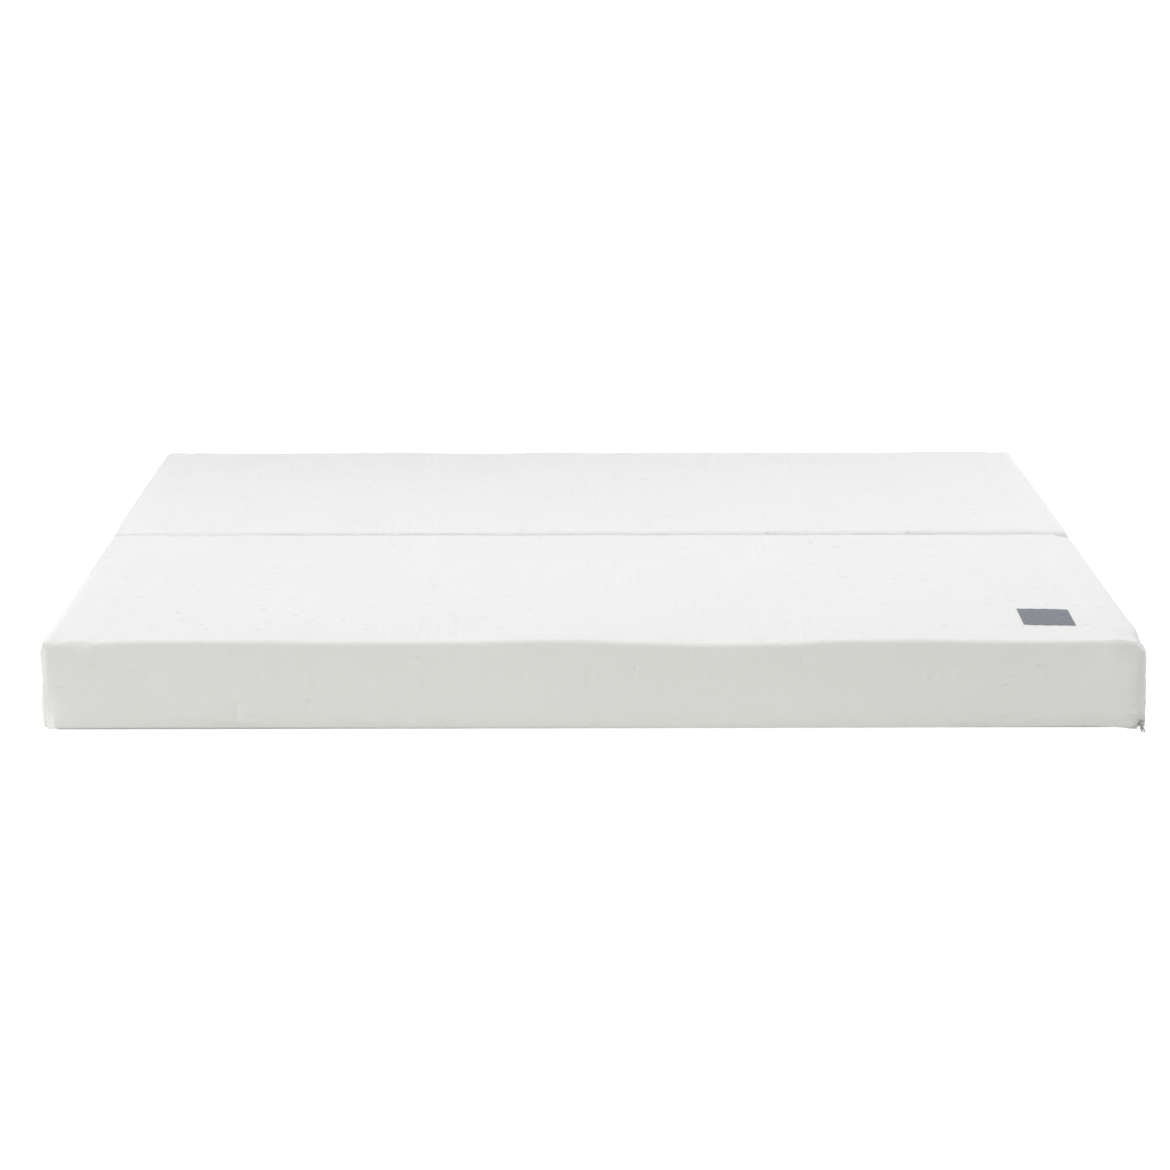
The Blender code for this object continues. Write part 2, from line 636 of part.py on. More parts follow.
def make_label():
    """A sewn-on patch near the front corner that follows the crowned top."""
    half = Vector((LABEL_WIDTH / 2, LABEL_DEPTH / 2, LABEL_WALL))
    bm = block((-half.x, -half.y, 0), (half.x, half.y, half.z))
    corners = [e for e in bm.edges if abs(e.verts[0].co.z - e.verts[1].co.z) > LABEL_WALL / 2]
    bmesh.ops.bevel(bm, geom=corners, offset=LABEL_CORNER, segments=2, profile=0.5, affect="EDGES")
    for axis, reach in ((0, half.x), (1, half.y)):
        normal = Vector((0, 0, 0))
        normal[axis] = 1
        for step in range(1, LABEL_CUTS):
            place = normal * reach * (2 * step / LABEL_CUTS - 1)
            geometry = bm.verts[:] + bm.edges[:] + bm.faces[:]
            bmesh.ops.bisect_plane(bm, geom=geometry, plane_co=place, plane_no=normal)
    centre = Vector((LABEL_X, OUTER_FACE_Y + LABEL_FRONT_INSET, SIDE_HEIGHT + FIT_GAP))
    bmesh.ops.transform(
        bm, matrix=Matrix.Translation(centre) @ Matrix.Rotation(LABEL_TURN, 4, "Z"), verts=bm.verts
    )
    for vert in bm.verts:
        vert.co.z += top_rise(vert.co.x, vert.co.y)
    return put("front_label", to_mesh("front_label", bm), parts, label_grey)


def make_fold_strip():
    """The web in the valley, sewn to the rounded top edges of both halves, with a little slack."""
    reach = TOP_EDGE_RADIUS + FIT_GAP + STRIP_WALL / 2
    seam_y = FOLD_GAP / 2 + TOP_EDGE_RADIUS - reach * math.sin(STRIP_SEAM_ANGLE)
    seam_z = SIDE_HEIGHT - TOP_EDGE_RADIUS + reach * math.cos(STRIP_SEAM_ANGLE)
    bm = bmesh.new()
    start = -(HALF_LENGTH - STRIP_END_INSET)
    row = []
    for step in range(STRIP_STEPS + 1):
        share = 2 * step / STRIP_STEPS - 1
        row.append(bm.verts.new((start, share * seam_y, seam_z - STRIP_SAG * (1 - share**2))))
    edges = [bm.edges.new(pair) for pair in zip(row, row[1:])]
    drawn = bmesh.ops.extrude_edge_only(bm, edges=edges)
    moved = [v for v in drawn["geom"] if isinstance(v, bmesh.types.BMVert)]
    bmesh.ops.translate(bm, vec=(-2 * start, 0, 0), verts=moved)
    strip = put("strip", to_mesh("strip", bm), parts)
    wall = strip.modifiers.new("Wall", "SOLIDIFY")
    wall.thickness = STRIP_WALL
    wall.offset = 0.0
    return bake_into(strip, "fold_strip", parts, tape_white)


def axis_empty(name, place):
    """An empty on a joint's axis, for the pieces that turn or slide there."""
    made = put(name, None, parts, location=place)
    made.empty_display_size = HALF_DEPTH / 10
    return made


def hold(child, parent):
    """Parents without moving: the child keeps its place in the world."""
    bpy.context.view_layer.update()
    child.parent = parent
    child.matrix_parent_inverse = parent.matrix_world.inverted()


REAR_NAMES = {
    "front_foam_core": "rear_foam_core",
    "front_cover_top": "rear_cover_top",
    "front_cover_base": "rear_cover_base",
    "front_cover_right_end": "rear_cover_left_end",
    "front_cover_left_end": "rear_cover_right_end",
    "front_cover_fold_side": "rear_cover_fold_side",
    "front_zip_upper_tape": "rear_zip_upper_tape",
    "front_zip_lower_tape": "rear_zip_lower_tape",
    "front_zip_upper_coil": "rear_zip_upper_coil",
    "front_zip_lower_coil": "rear_zip_lower_coil",
    "front_zip_bottom_stop": "rear_zip_bottom_stop",
    "front_zip_upper_top_stop": "rear_zip_upper_top_stop",
    "front_zip_lower_top_stop": "rear_zip_lower_top_stop",
    "front_zip_slider": "rear_zip_slider",
    "front_zip_pull": "rear_zip_pull",
}


def make_rear_half():
    """Copies of the front pieces, sharing their meshes, turned half a turn and hung on the fold."""
    fold = axis_empty("fold_axis", (0, 0, FOLD_AXIS_Z))
    slide = axis_empty("rear_slide_axis", (-SLIDER_X, -BAIL_Y, ZIP_HEIGHT))
    swing = axis_empty("rear_pull_axis", (-SLIDER_X, -BAIL_Y, ZIP_HEIGHT))
    hold(slide, fold)
    hold(swing, slide)
    holders = {"rear_zip_slider": slide, "rear_zip_pull": swing}
    for source, name in REAR_NAMES.items():
        copy = put(name, bpy.data.objects[source].data, parts)
        copy.rotation_euler = (0, 0, math.pi)
        hold(copy, holders.get(name, fold))


clear_scene()
parts = new_collection("sofa_bed_mattress")
cutters = new_collection("cutters")
knit_white = new_material("knit_white", (0.90, 0.90, 0.885), 0.85)
base_cloth = new_material("base_cloth", (0.84, 0.84, 0.82), 0.9)
foam_white = new_material("foam", (0.93, 0.91, 0.84), 0.95)
tape_white = new_material("tape_white", (0.88, 0.88, 0.87), 0.8)
coil_white = new_material("coil_white", (0.86, 0.86, 0.85), 0.45)
nickel = new_material("nickel", (0.62, 0.61, 0.59), 0.3, 1.0)
label_grey = new_material("label_grey", (0.20, 0.21, 0.23), 0.75)

make_foam()
make_top_panel()
make_base_panel()
make_end_panel(1, "front_cover_right_end")
make_end_panel(-1, "front_cover_left_end")
make_fold_side()
make_upper_tape()
make_lower_tape()
make_coil(1, "front_zip_upper_coil")
make_coil(-1, "front_zip_lower_coil")
make_stops()
front_slide = axis_empty("front_slide_axis", (SLIDER_X, BAIL_Y, ZIP_HEIGHT))
front_swing = axis_empty("front_pull_axis", (SLIDER_X, BAIL_Y, ZIP_HEIGHT))
hold(front_swing, front_slide)
hold(make_slider(), front_slide)
hold(make_pull(), front_swing)
make_label()
make_fold_strip()
make_rear_half()
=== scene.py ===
# Sofa bed mattress in two halves: knit covers over foam, zips along the feet, a woven label.

import math

import bpy
import numpy as np
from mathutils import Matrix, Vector


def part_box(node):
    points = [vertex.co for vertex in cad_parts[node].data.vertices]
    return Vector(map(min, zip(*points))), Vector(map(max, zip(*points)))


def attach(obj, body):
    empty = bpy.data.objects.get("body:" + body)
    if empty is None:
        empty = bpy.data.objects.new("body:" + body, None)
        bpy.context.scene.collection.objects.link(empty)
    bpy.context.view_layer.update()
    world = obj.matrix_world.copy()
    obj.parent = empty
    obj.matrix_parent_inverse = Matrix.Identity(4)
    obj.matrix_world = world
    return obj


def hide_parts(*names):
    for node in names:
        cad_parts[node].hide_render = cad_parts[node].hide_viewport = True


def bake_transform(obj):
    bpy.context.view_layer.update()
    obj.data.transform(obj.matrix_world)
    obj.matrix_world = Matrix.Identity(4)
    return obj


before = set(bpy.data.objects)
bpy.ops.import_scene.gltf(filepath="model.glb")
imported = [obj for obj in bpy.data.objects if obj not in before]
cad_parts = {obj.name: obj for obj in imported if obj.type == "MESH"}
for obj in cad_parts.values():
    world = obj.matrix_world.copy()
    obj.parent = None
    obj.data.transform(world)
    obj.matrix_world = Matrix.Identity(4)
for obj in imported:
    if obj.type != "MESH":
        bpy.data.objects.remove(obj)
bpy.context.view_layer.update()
scene = bpy.context.scene


# Shader maths on sockets

class Wire:
    # one output of a shader node; arithmetic on it adds Math nodes

    def __init__(self, finish, socket):
        self.finish = finish
        self.socket = socket

    def __add__(self, other):
        return self.finish.maths("ADD", self, other)

    def __sub__(self, other):
        return self.finish.maths("SUBTRACT", self, other)

    def __rsub__(self, other):
        return self.finish.maths("SUBTRACT", other, self)

    def __mul__(self, other):
        return self.finish.maths("MULTIPLY", self, other)

    def __truediv__(self, other):
        return self.finish.maths("DIVIDE", self, other)

    __radd__ = __add__
    __rmul__ = __mul__


class Finish:
    # a material whose Principled shader gets constants and links

    def __init__(self, name, constants):
        self.material = bpy.data.materials.new(name)
        self.material.use_nodes = True
        self.tree = self.material.node_tree
        self.shader = self.tree.nodes["Principled BSDF"]
        for key, value in constants.items():
            self.shader.inputs[key].default_value = value
        self.material.diffuse_color = (*constants["Base Color"][:3], 1)

    def add(self, kind, settings=None, values=None, output=0):
        node = self.tree.nodes.new(kind)
        for key, value in (settings or {}).items():
            setattr(node, key, value)
        for key, value in (values or {}).items():
            if isinstance(value, Wire):
                self.tree.links.new(value.socket, node.inputs[key])
            else:
                node.inputs[key].default_value = value
        return Wire(self, node.outputs[output])

    def noise(self, place, scale, detail):
        return self.add("ShaderNodeTexNoise", None, {"Vector": place, "Scale": scale, "Detail": detail})

    def ownPlace(self):
        # the object's own coordinates
        return self.add("ShaderNodeTexCoord", output=3)

    def maths(self, operation, *values):
        return self.add("ShaderNodeMath", {"operation": operation}, dict(enumerate(values)))

    def ramp(self, factor, low, high, start=0.0, end=1.0):
        # an S-shaped change from start to end between two values of the factor
        return self.add(
            "ShaderNodeMapRange",
            {"interpolation_type": "SMOOTHSTEP"},
            {0: factor, 1: low, 2: high, 3: start, 4: end},
        )

    def blendColours(self, factor, first, second):
        node = self.add("ShaderNodeMix", {"data_type": "RGBA"}, {0: factor}, output=2)
        made = node.socket.node
        for index, value in ((6, first), (7, second)):
            if isinstance(value, Wire):
                self.tree.links.new(value.socket, made.inputs[index])
            else:
                made.inputs[index].default_value = (*value[:3], 1)
        return node

    def bump(self, height, depth, strength=1.0, under=None):
        values = {"Height": height, "Distance": depth, "Strength": strength}
        if under is not None:
            values["Normal"] = under
        return self.add("ShaderNodeBump", None, values)

    def feed(self, name, wire):
        self.tree.links.new(wire.socket, self.shader.inputs[name])

    def dress(self, tone, dark, light, height, depth, strength):
        # a colour between dark and light by the tone, and a fine relief
        self.feed("Base Color", self.blendColours(tone, dark, light))
        self.feed("Normal", self.bump(height, depth, strength))
        return self.material


def clothPlace(finish):
    # the piece's own UV map, in metres along and across the cloth
    place = finish.add("ShaderNodeUVMap", {"uv_map": "cloth"})
    parts = finish.add("ShaderNodeSeparateXYZ", None, {0: place})
    node = parts.socket.node
    return place, Wire(finish, node.outputs[0]), Wire(finish, node.outputs[1])


# Numpy surfaces

def quarterRound(inside, radius):
    # drop of a quarter circle at a distance inside its edge: r - sqrt(r^2 - (r - d)^2)
    reach = radius - np.clip(inside, 0, radius)
    return radius - np.sqrt(np.maximum(radius**2 - reach**2, 0))


def smooth(low, high, value):
    # the S-curve 3t^2 - 2t^3 from 0 at low to 1 at high
    t = np.clip((value - low) / (high - low), 0, 1)
    return t * t * (3 - 2 * t)


def bell(value, place, width):
    # exp(-((value - place) / width)^2)
    return np.exp(-(((value - place) / width) ** 2))


def spaced(start, end, step, crowdStart=0.0, crowdEnd=0.0, fine=0.0012):
    # places from start to end, about a step apart, crowded together near either end
    span = abs(end - start)
    places = list(np.linspace(0, span, max(2, round(span / step) + 1)))
    for crowd, flip in ((crowdStart, False), (crowdEnd, True)):
        if crowd > 0:
            near = fine * np.cumsum(1.35 ** np.arange(0, 40)) / 1.35
            near = [0.0, *near[near < crowd]]
            kept = [p for p in places if (span - p if flip else p) > crowd + step / 3]
            places = kept + [span - p if flip else p for p in near]
    places = np.unique(np.round(places, 7))
    return start + np.sign(end - start) * places


def thinned(places, step):
    # indexes of the places that are nearest to even steps
    count = max(2, round(abs(places[-1] - places[0]) / step) + 1)
    wanted = np.linspace(places[0], places[-1], count)
    return np.unique(np.abs(places[:, None] - wanted[None, :]).argmin(axis=0))


def bilinear(values, rows, columns, atRows, atColumns):
    # reads a grid of numbers or vectors between its own rows and columns, in straight lines
    i = np.interp(atRows, rows, np.arange(len(rows)))
    j = np.interp(atColumns, columns, np.arange(len(columns)))
    i0 = np.clip(i.astype(int), 0, len(rows) - 2)
    j0 = np.clip(j.astype(int), 0, len(columns) - 2)
    a, b = i - i0, j - j0
    if values.ndim == 3:
        a, b = a[..., None], b[..., None]
    low = values[i0, j0] * (1 - b) + values[i0, j0 + 1] * b
    high = values[i0 + 1, j0] * (1 - b) + values[i0 + 1, j0 + 1] * b
    return low * (1 - a) + high * a


def clothNoise(u, v, wavelength, seed, waves=18, spread=0.45):
    # a sum of plane waves in random directions, about 1 high, with wavelengths near the given one
    rng = np.random.default_rng(seed)
    total = np.zeros(np.broadcast(u, v).shape)
    for _ in range(waves):
        turn, phase = rng.uniform(0, 2 * math.pi, 2)
        count = 2 * math.pi / (wavelength * rng.uniform(1 - spread, 1 + spread))
        total += np.sin(count * (u * math.cos(turn) + v * math.sin(turn)) + phase)
    return total / math.sqrt(waves)


def gathers(along, wavelength, seed):
    # the same noise, even across, for the puckers along a seam
    return clothNoise(along, 0 * along, wavelength, seed, 12, 0.35)


def gone(path):
    # the length from a path's start to each of its points
    return np.concatenate([[0], np.cumsum(np.linalg.norm(np.diff(path, axis=0), axis=1))])


def gridNormals(points):
    # unit normals of a grid surface: its columns' direction crossed with its rows' direction
    down = np.gradient(points, axis=0)
    along = np.gradient(points, axis=1)
    normal = np.cross(along, down)
    return normal / np.maximum(np.linalg.norm(normal, axis=2, keepdims=True), 1e-12)


def pushed(points, distance):
    # every point moved along the surface's normal
    return points + gridNormals(points) * distance[..., None]


def turned(points):
    # half a turn about Z, which takes the front half's places to the rear half's
    return points * np.array([-1.0, -1.0, 1.0])


def meshFrom(name, points, faces, uv=None, material=None):
    mesh = bpy.data.meshes.new(name)
    mesh.from_pydata(points.reshape(-1, 3), [], faces)
    if uv is not None:
        layer = mesh.uv_layers.new(name="cloth")
        corners = np.zeros(len(mesh.loops), np.int32)
        mesh.loops.foreach_get("vertex_index", corners)
        layer.data.foreach_set("uv", uv.reshape(-1, 2)[corners].astype(np.float32).ravel())
    if material is not None:
        mesh.materials.append(material)
    mesh.shade_smooth()
    mesh.update()
    made = bpy.data.objects.new(name, mesh)
    scene.collection.objects.link(made)
    return made


def gridQuads(rows, columns):
    index = np.arange(rows * columns).reshape(rows, columns)
    quads = [index[:-1, :-1], index[:-1, 1:], index[1:, 1:], index[1:, :-1]]
    return np.stack(quads, axis=-1).reshape(-1, 4)


def gridPiece(name, points, uv, wall, material):
    # a sheet of cloth from a grid of points, with its wall on the inner side
    made = meshFrom(name, points, gridQuads(*points.shape[:2]), uv, material)
    thick = made.modifiers.new("Wall", "SOLIDIFY")
    thick.thickness = wall
    thick.offset = -1
    return made


def tubeRings(path, radius, sides, across):
    # rings square to each path: centre + r (cos t side + sin t up); paths may be stacked
    path = np.asarray(path, float)
    ahead = np.gradient(path, axis=-2)
    ahead = ahead / np.linalg.norm(ahead, axis=-1, keepdims=True)
    side = np.cross(ahead, np.broadcast_to(across, path.shape))
    side = side / np.linalg.norm(side, axis=-1, keepdims=True)
    up = np.cross(side, ahead)
    turn = np.linspace(0, 2 * math.pi, sides, endpoint=False)[:, None]
    ring = np.cos(turn) * side[..., None, :] + np.sin(turn) * up[..., None, :]
    return path[..., None, :] + np.asarray(radius)[..., None, None] * ring


def tubeFaces(count, rings, sides):
    # quads between neighbouring rings of each tube, and one face to close each end
    index = np.arange(count * rings * sides).reshape(count, rings, sides)
    beside = np.roll(index, -1, axis=2)
    quads = np.stack([index[:, :-1], beside[:, :-1], beside[:, 1:], index[:, 1:]], axis=-1)
    return [*quads.reshape(-1, 4).tolist(), *index[:, 0, ::-1].tolist(), *index[:, -1].tolist()]


# Finishes

knitLook = {
    "colour": (0.905, 0.905, 0.902),
    "lozengeAlong": 0.031,  # metres between columns of lozenges
    "lozengeAcross": 0.0145,
    "lozengeDepth": 0.00010,
    # grooveShade: how much darker the grooves between the lozenges are coloured, as painted shade
    "grooveShade": 0.008,
    "stitch": 0.0016,
    "stitchDepth": 0.00005,
    "patchShade": 0.006,
    "lensDepth": 0.00090,
}


def lensMarks(made, along, across, cell, share, size):
    # one small hollow in a share of the cells of a stretched Voronoi pattern, round in its cell
    spot = made.add("ShaderNodeCombineXYZ", None, {0: along / cell[0], 1: across / cell[1]})
    node = made.add("ShaderNodeTexVoronoi", {"voronoi_dimensions": "2D"}, {"Vector": spot, "Scale": 1.0}).socket.node
    picked = made.add("ShaderNodeSeparateColor", None, {0: Wire(made, node.outputs[1])})
    chosen = made.maths("GREATER_THAN", picked, 1 - share)
    return made.ramp(Wire(made, node.outputs[0]), 0.0, size, 1.0, 0.0) * chosen


def knitFinish():
    look = knitLook
    made = Finish("knit jacquard", {
        "Base Color": (*look["colour"], 1), "Roughness": 0.88,
        "Sheen Weight": 0.12, "Sheen Roughness": 0.5, "Specular IOR Level": 0.2,
    })
    place, along, across = clothPlace(made)
    # staggered lozenges are high where |cos(a) + cos(b)| is high, with grooves between them
    a = made.maths("COSINE", along * (2 * math.pi / look["lozengeAlong"]))
    b = made.maths("COSINE", across * (2 * math.pi / look["lozengeAcross"]))
    puff = made.ramp(made.maths("ABSOLUTE", a + b), 0.0, 0.9)
    # the knit's own wales and courses
    wale = made.maths("COSINE", along * (2 * math.pi / look["stitch"]))
    course = made.maths("COSINE", across * (2 * math.pi / (look["stitch"] * 0.8)))
    loops = wale * course
    tuft = made.noise(place, 700.0, 2.0)
    patches = made.noise(place, 5.0, 3.0)
    # small hollows where the loops drew up, flat ones and upright ones, in some places more than others
    loose = made.ramp(made.noise(place, 2.2, 1.0), 0.45, 0.6)
    onTop = made.ramp(across, 0.150, 0.170)
    raised = lensMarks(made, along, across, (0.048, 0.046), 0.42, 0.16) * onTop
    hollow = lensMarks(made, along + 0.37, across, (0.026, 0.065), 0.10, 0.10) * (1 - loose)
    hollow = hollow + lensMarks(made, along, across, (0.060, 0.022), 0.30, 0.10) * loose
    hollow = hollow * (1 - onTop)
    columns = made.maths("COSINE", along * (4 * math.pi / look["lozengeAlong"])) * onTop
    middle = 1 - made.ramp(made.maths("ABSOLUTE", along), 0.35, 0.65)
    mottle = made.noise(place, 170.0, 2.0)
    # colour tone: lighter on the lozenges and darker in the grooves between them, as painted shade; loops, patches,
    # tufts, streaks and mottle are the knit's own uneven tone
    light = puff * look["grooveShade"] + loops * 0.002 + (patches - 0.5) * look["patchShade"] * 4
    some = made.ramp(made.noise(place, 3.1, 1.0), 0.46, 0.66)
    # the colour is darker in the small hollows, as painted shade; the tufts and the streaks on the top are the knit's
    # own tone
    light = light + (tuft - 0.5) * 0.02 - hollow * 0.006 + columns * some * middle * 0.011
    light = light + (mottle - 0.5) * (0.01 + onTop * 0.05)
    darker = [c * 0.90 for c in look["colour"]]
    lighter = [min(1.0, c * 1.06) for c in look["colour"]]
    made.feed("Base Color", made.blendColours(made.add(
        "ShaderNodeMapRange", None, {0: light, 1: -0.08, 2: 0.10, 3: 0.0, 4: 1.0}), darker, lighter))
    made.feed("Roughness", 0.86 + (tuft - 0.5) * 0.12)
    large = made.bump(puff, look["lozengeDepth"], 0.9)
    marks = made.bump(raised * 2.0 - hollow, look["lensDepth"], 1.0, large)
    fine = made.bump(loops + (tuft - 0.5) * 0.8, look["stitchDepth"], 0.7, marks)
    made.feed("Normal", fine)
    return made.material


def baseClothFinish():
    made = Finish("base cloth", {
        "Base Color": (0.86, 0.86, 0.845, 1), "Roughness": 0.92, "Sheen Weight": 0.1,
    })
    place, along, across = clothPlace(made)
    warp = made.maths("SINE", along * (2 * math.pi / 0.0016))
    weft = made.maths("SINE", across * (2 * math.pi / 0.0016))
    weave = warp * weft
    slub = made.noise(place, 60.0, 5.0)
    tone = made.ramp(slub + weave * 0.06, 0.3, 0.7)
    made.feed("Roughness", 0.88 + (slub - 0.5) * 0.1)
    return made.dress(tone, (0.80, 0.80, 0.785), (0.89, 0.89, 0.875), weave + slub, 0.00018, 0.8)


def foamFinish():
    made = Finish("foam", {"Base Color": (0.93, 0.90, 0.80, 1), "Roughness": 0.95})
    where = made.ownPlace()
    cells = made.add("ShaderNodeTexVoronoi", None, {"Vector": where, "Scale": 420.0})
    broad = made.noise(where, 6.0, 3.0)
    # colour darker towards each cell's middle, where the bump sinks into a pore, as painted shade in the pores; the
    # broad noise is random tone
    tone = made.ramp(cells + broad * 0.3, 0.2, 0.9)
    made.feed("Roughness", 0.92 + cells * 0.06)
    return made.dress(tone, (0.80, 0.75, 0.62), (0.95, 0.92, 0.83), cells, 0.0006, 0.8)


def tapeFinish():
    made = Finish("zip tape", {"Base Color": (0.88, 0.88, 0.87, 1), "Roughness": 0.8, "Sheen Weight": 0.1})
    place, along, across = clothPlace(made)
    # herringbone: slanted ribs that change direction every few threads
    column = made.maths("PINGPONG", across, 0.0024)
    rib = made.maths("SINE", (along + column) * (2 * math.pi / 0.0011))
    dust = made.noise(place, 250.0, 3.0)
    tone = made.ramp(rib * 0.15 + dust, 0.3, 0.75)
    made.feed("Roughness", 0.76 + (dust - 0.5) * 0.15)
    return made.dress(tone, (0.82, 0.82, 0.81), (0.91, 0.91, 0.90), rib + dust, 0.00012, 0.8)


def coilFinish():
    made = Finish("nylon coil", {
        "Base Color": (0.88, 0.88, 0.87, 1), "Roughness": 0.38, "Specular IOR Level": 0.5,
    })
    where = made.ownPlace()
    haze = made.noise(where, 700.0, 3.0)
    made.feed("Roughness", 0.3 + haze * 0.2)
    return made.dress(haze, (0.84, 0.84, 0.83), (0.92, 0.92, 0.91), haze, 0.00004, 0.5)


def nickelFinish():
    made = Finish("nickel plate", {
        "Base Color": (0.30, 0.295, 0.285, 1), "Metallic": 1.0, "Roughness": 0.28,
    })
    where = made.ownPlace()
    stretched = made.add("ShaderNodeMapping", None, {"Vector": where, "Scale": (900.0, 2500.0, 2500.0)})
    scratch = made.noise(stretched, 1.0, 4.0)
    cloudy = made.noise(where, 260.0, 3.0)
    tone = made.ramp(cloudy, 0.3, 0.7)
    made.feed("Roughness", 0.2 + scratch * 0.16 + cloudy * 0.08)
    return made.dress(tone, (0.24, 0.236, 0.228), (0.36, 0.355, 0.343), scratch, 0.00003, 0.4)


def labelFinish():
    made = Finish("label weave", {
        "Base Color": (0.160, 0.172, 0.200, 1), "Roughness": 0.66, "Sheen Weight": 0.10,
    })
    place, along, across = clothPlace(made)
    warp = made.maths("SINE", along * (2 * math.pi / 0.0009))
    weft = made.maths("SINE", (across + along * 0.5) * (2 * math.pi / 0.0009))
    twill = made.maths("MAXIMUM", warp * 0.6, weft)
    fleck = made.noise(place, 420.0, 3.0)
    tone = made.ramp(twill * 0.12 + fleck, 0.3, 0.75)
    made.feed("Roughness", 0.58 + (fleck - 0.5) * 0.2)
    return made.dress(tone, (0.130, 0.140, 0.166), (0.188, 0.200, 0.232), twill + fleck, 0.00010, 0.8)


def threadFinish(name, colour):
    made = Finish(name, {"Base Color": (*colour, 1), "Roughness": 0.6, "Sheen Weight": 0.1})
    where = made.ownPlace()
    twist = made.noise(where, 1500.0, 2.0)
    dark, light = [c * 0.85 for c in colour], [min(1, c * 1.08) for c in colour]
    return made.dress(twist, dark, light, twist, 0.00005, 0.6)


knit = knitFinish()
baseCloth = baseClothFinish()
foamCream = foamFinish()
tapeWhite = tapeFinish()
coilWhite = coilFinish()
nickel = nickelFinish()
labelGrey = labelFinish()
whiteThread = threadFinish("white thread", (0.88, 0.88, 0.87))
greyThread = threadFinish("grey thread", (0.30, 0.305, 0.33))
print("finishes made")


# The covered half, in the front half's places

baseLow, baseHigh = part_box("front_cover_base")
tapeLow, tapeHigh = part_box("front_zip_upper_tape")
form = {
    "length": baseHigh.x - baseLow.x,
    "foldY": baseHigh.y,
    "outerY": tapeLow.y - 0.0013,
    "height": 0.156,
    "crown": 0.0035,
    "draw": 0.0020,
    "belly": 0.0030,
    "footTop": 0.105,  # below this the ends spread outwards
    "bandTop": 0.0203,
    "cornerRadius": 0.025,
    "topRadius": 0.014,
    "outerRadius": 0.0075,  # of the long outer top edge
    "footRadius": 0.006,
    "foldSeamZ": 0.138,
    "rimZ": 0.0062,
    "wall": 0.0018,
    "seamGap": 0.00004,
    "clothStep": 0.0061,
    "endGather": 0.015,  # spacing of the gathers along the end seams
    "foldGather": 0.02,
    "baseFront": 0.0136,  # from the outer side: the base's edge over the zip
    "rimStart": 0.012,
    "rimEnd": 0.022,
    "baseZ": 0.0002,
    "foamInset": 0.0045,
    "foamEnd": 0.016,
    "chaseDepth": 0.0062,  # the foam's chase behind the zip
    "chaseTop": 0.0119,
}
halfLength = form["length"] / 2
halfDepth = form["foldY"] - form["outerY"]
centreY = (form["foldY"] + form["outerY"]) / 2


def eased(x, places, values):
    # between two places the value goes over as 3 t^2 - 2 t^3
    places, values = np.array(places), np.array(values)
    k = np.clip(np.searchsorted(places, x) - 1, 0, len(places) - 2)
    t = np.clip((x - places[k]) / (places[k + 1] - places[k]), 0, 1)
    return values[k] + (values[k + 1] - values[k]) * t * t * (3 - 2 * t)


def spread(points, style):
    # the ends lean outwards towards the foot: a(1 - s(z)), on the last 25 mm of the length
    x, z = points[..., 0], points[..., 2]
    amount = np.where(x < 0, *style["footOut"])
    moved = points.copy()
    lean = amount * (1 - smooth(0.016, form["footTop"], z)) * smooth(0.920, halfLength, np.abs(x))
    moved[..., 0] += np.sign(x) * lean
    return moved


def softened(points, style):
    # crown, draw and belly of the CAD solid, the outer top edge's own rise and pressed-in corners
    x, y, z = points[..., 0], points[..., 1], points[..., 2]
    u = np.clip(x / halfLength, -1, 1)
    v = np.clip((y - centreY) / (halfDepth / 2), -1, 1)
    lift = np.clip((z - form["bandTop"]) / (form["height"] - form["bandTop"]), 0, None)
    drawn = form["draw"] * np.minimum(1, 4 * lift)
    swell = form["belly"] * 4 * lift * (1 - lift)
    endSwell = np.where(x < 0, *style["endBelly"]) * 4 * lift * (1 - lift)
    endDraw = np.where(x < 0, *style["endDraw"]) * np.minimum(1, 4 * lift) * (1 - v**4)
    crown = form["crown"] * (1 - u**4) * (1 - v**4)
    crown = crown + eased(x, *style["edgeRise"]) * np.maximum(0, -v) ** 3
    rise = np.clip(2 * z / form["height"] - 1, 0, None)
    moved = points.copy()
    moved[..., 0] += np.sign(u) * (endSwell - endDraw) * u**8
    moved[..., 1] -= np.sign(v) * drawn * (1 - u**4) * v**8 + (v < 0) * swell * v**8
    moved[..., 2] += crown * rise
    for cx, cy, cz, width, push in style["pressed"]:
        away = (x - cx) ** 2 + (y - cy) ** 2 + 4 * (z - cz) ** 2
        moved += np.exp(-away / width**2)[..., None] * np.array(push)
    return spread(moved, style)


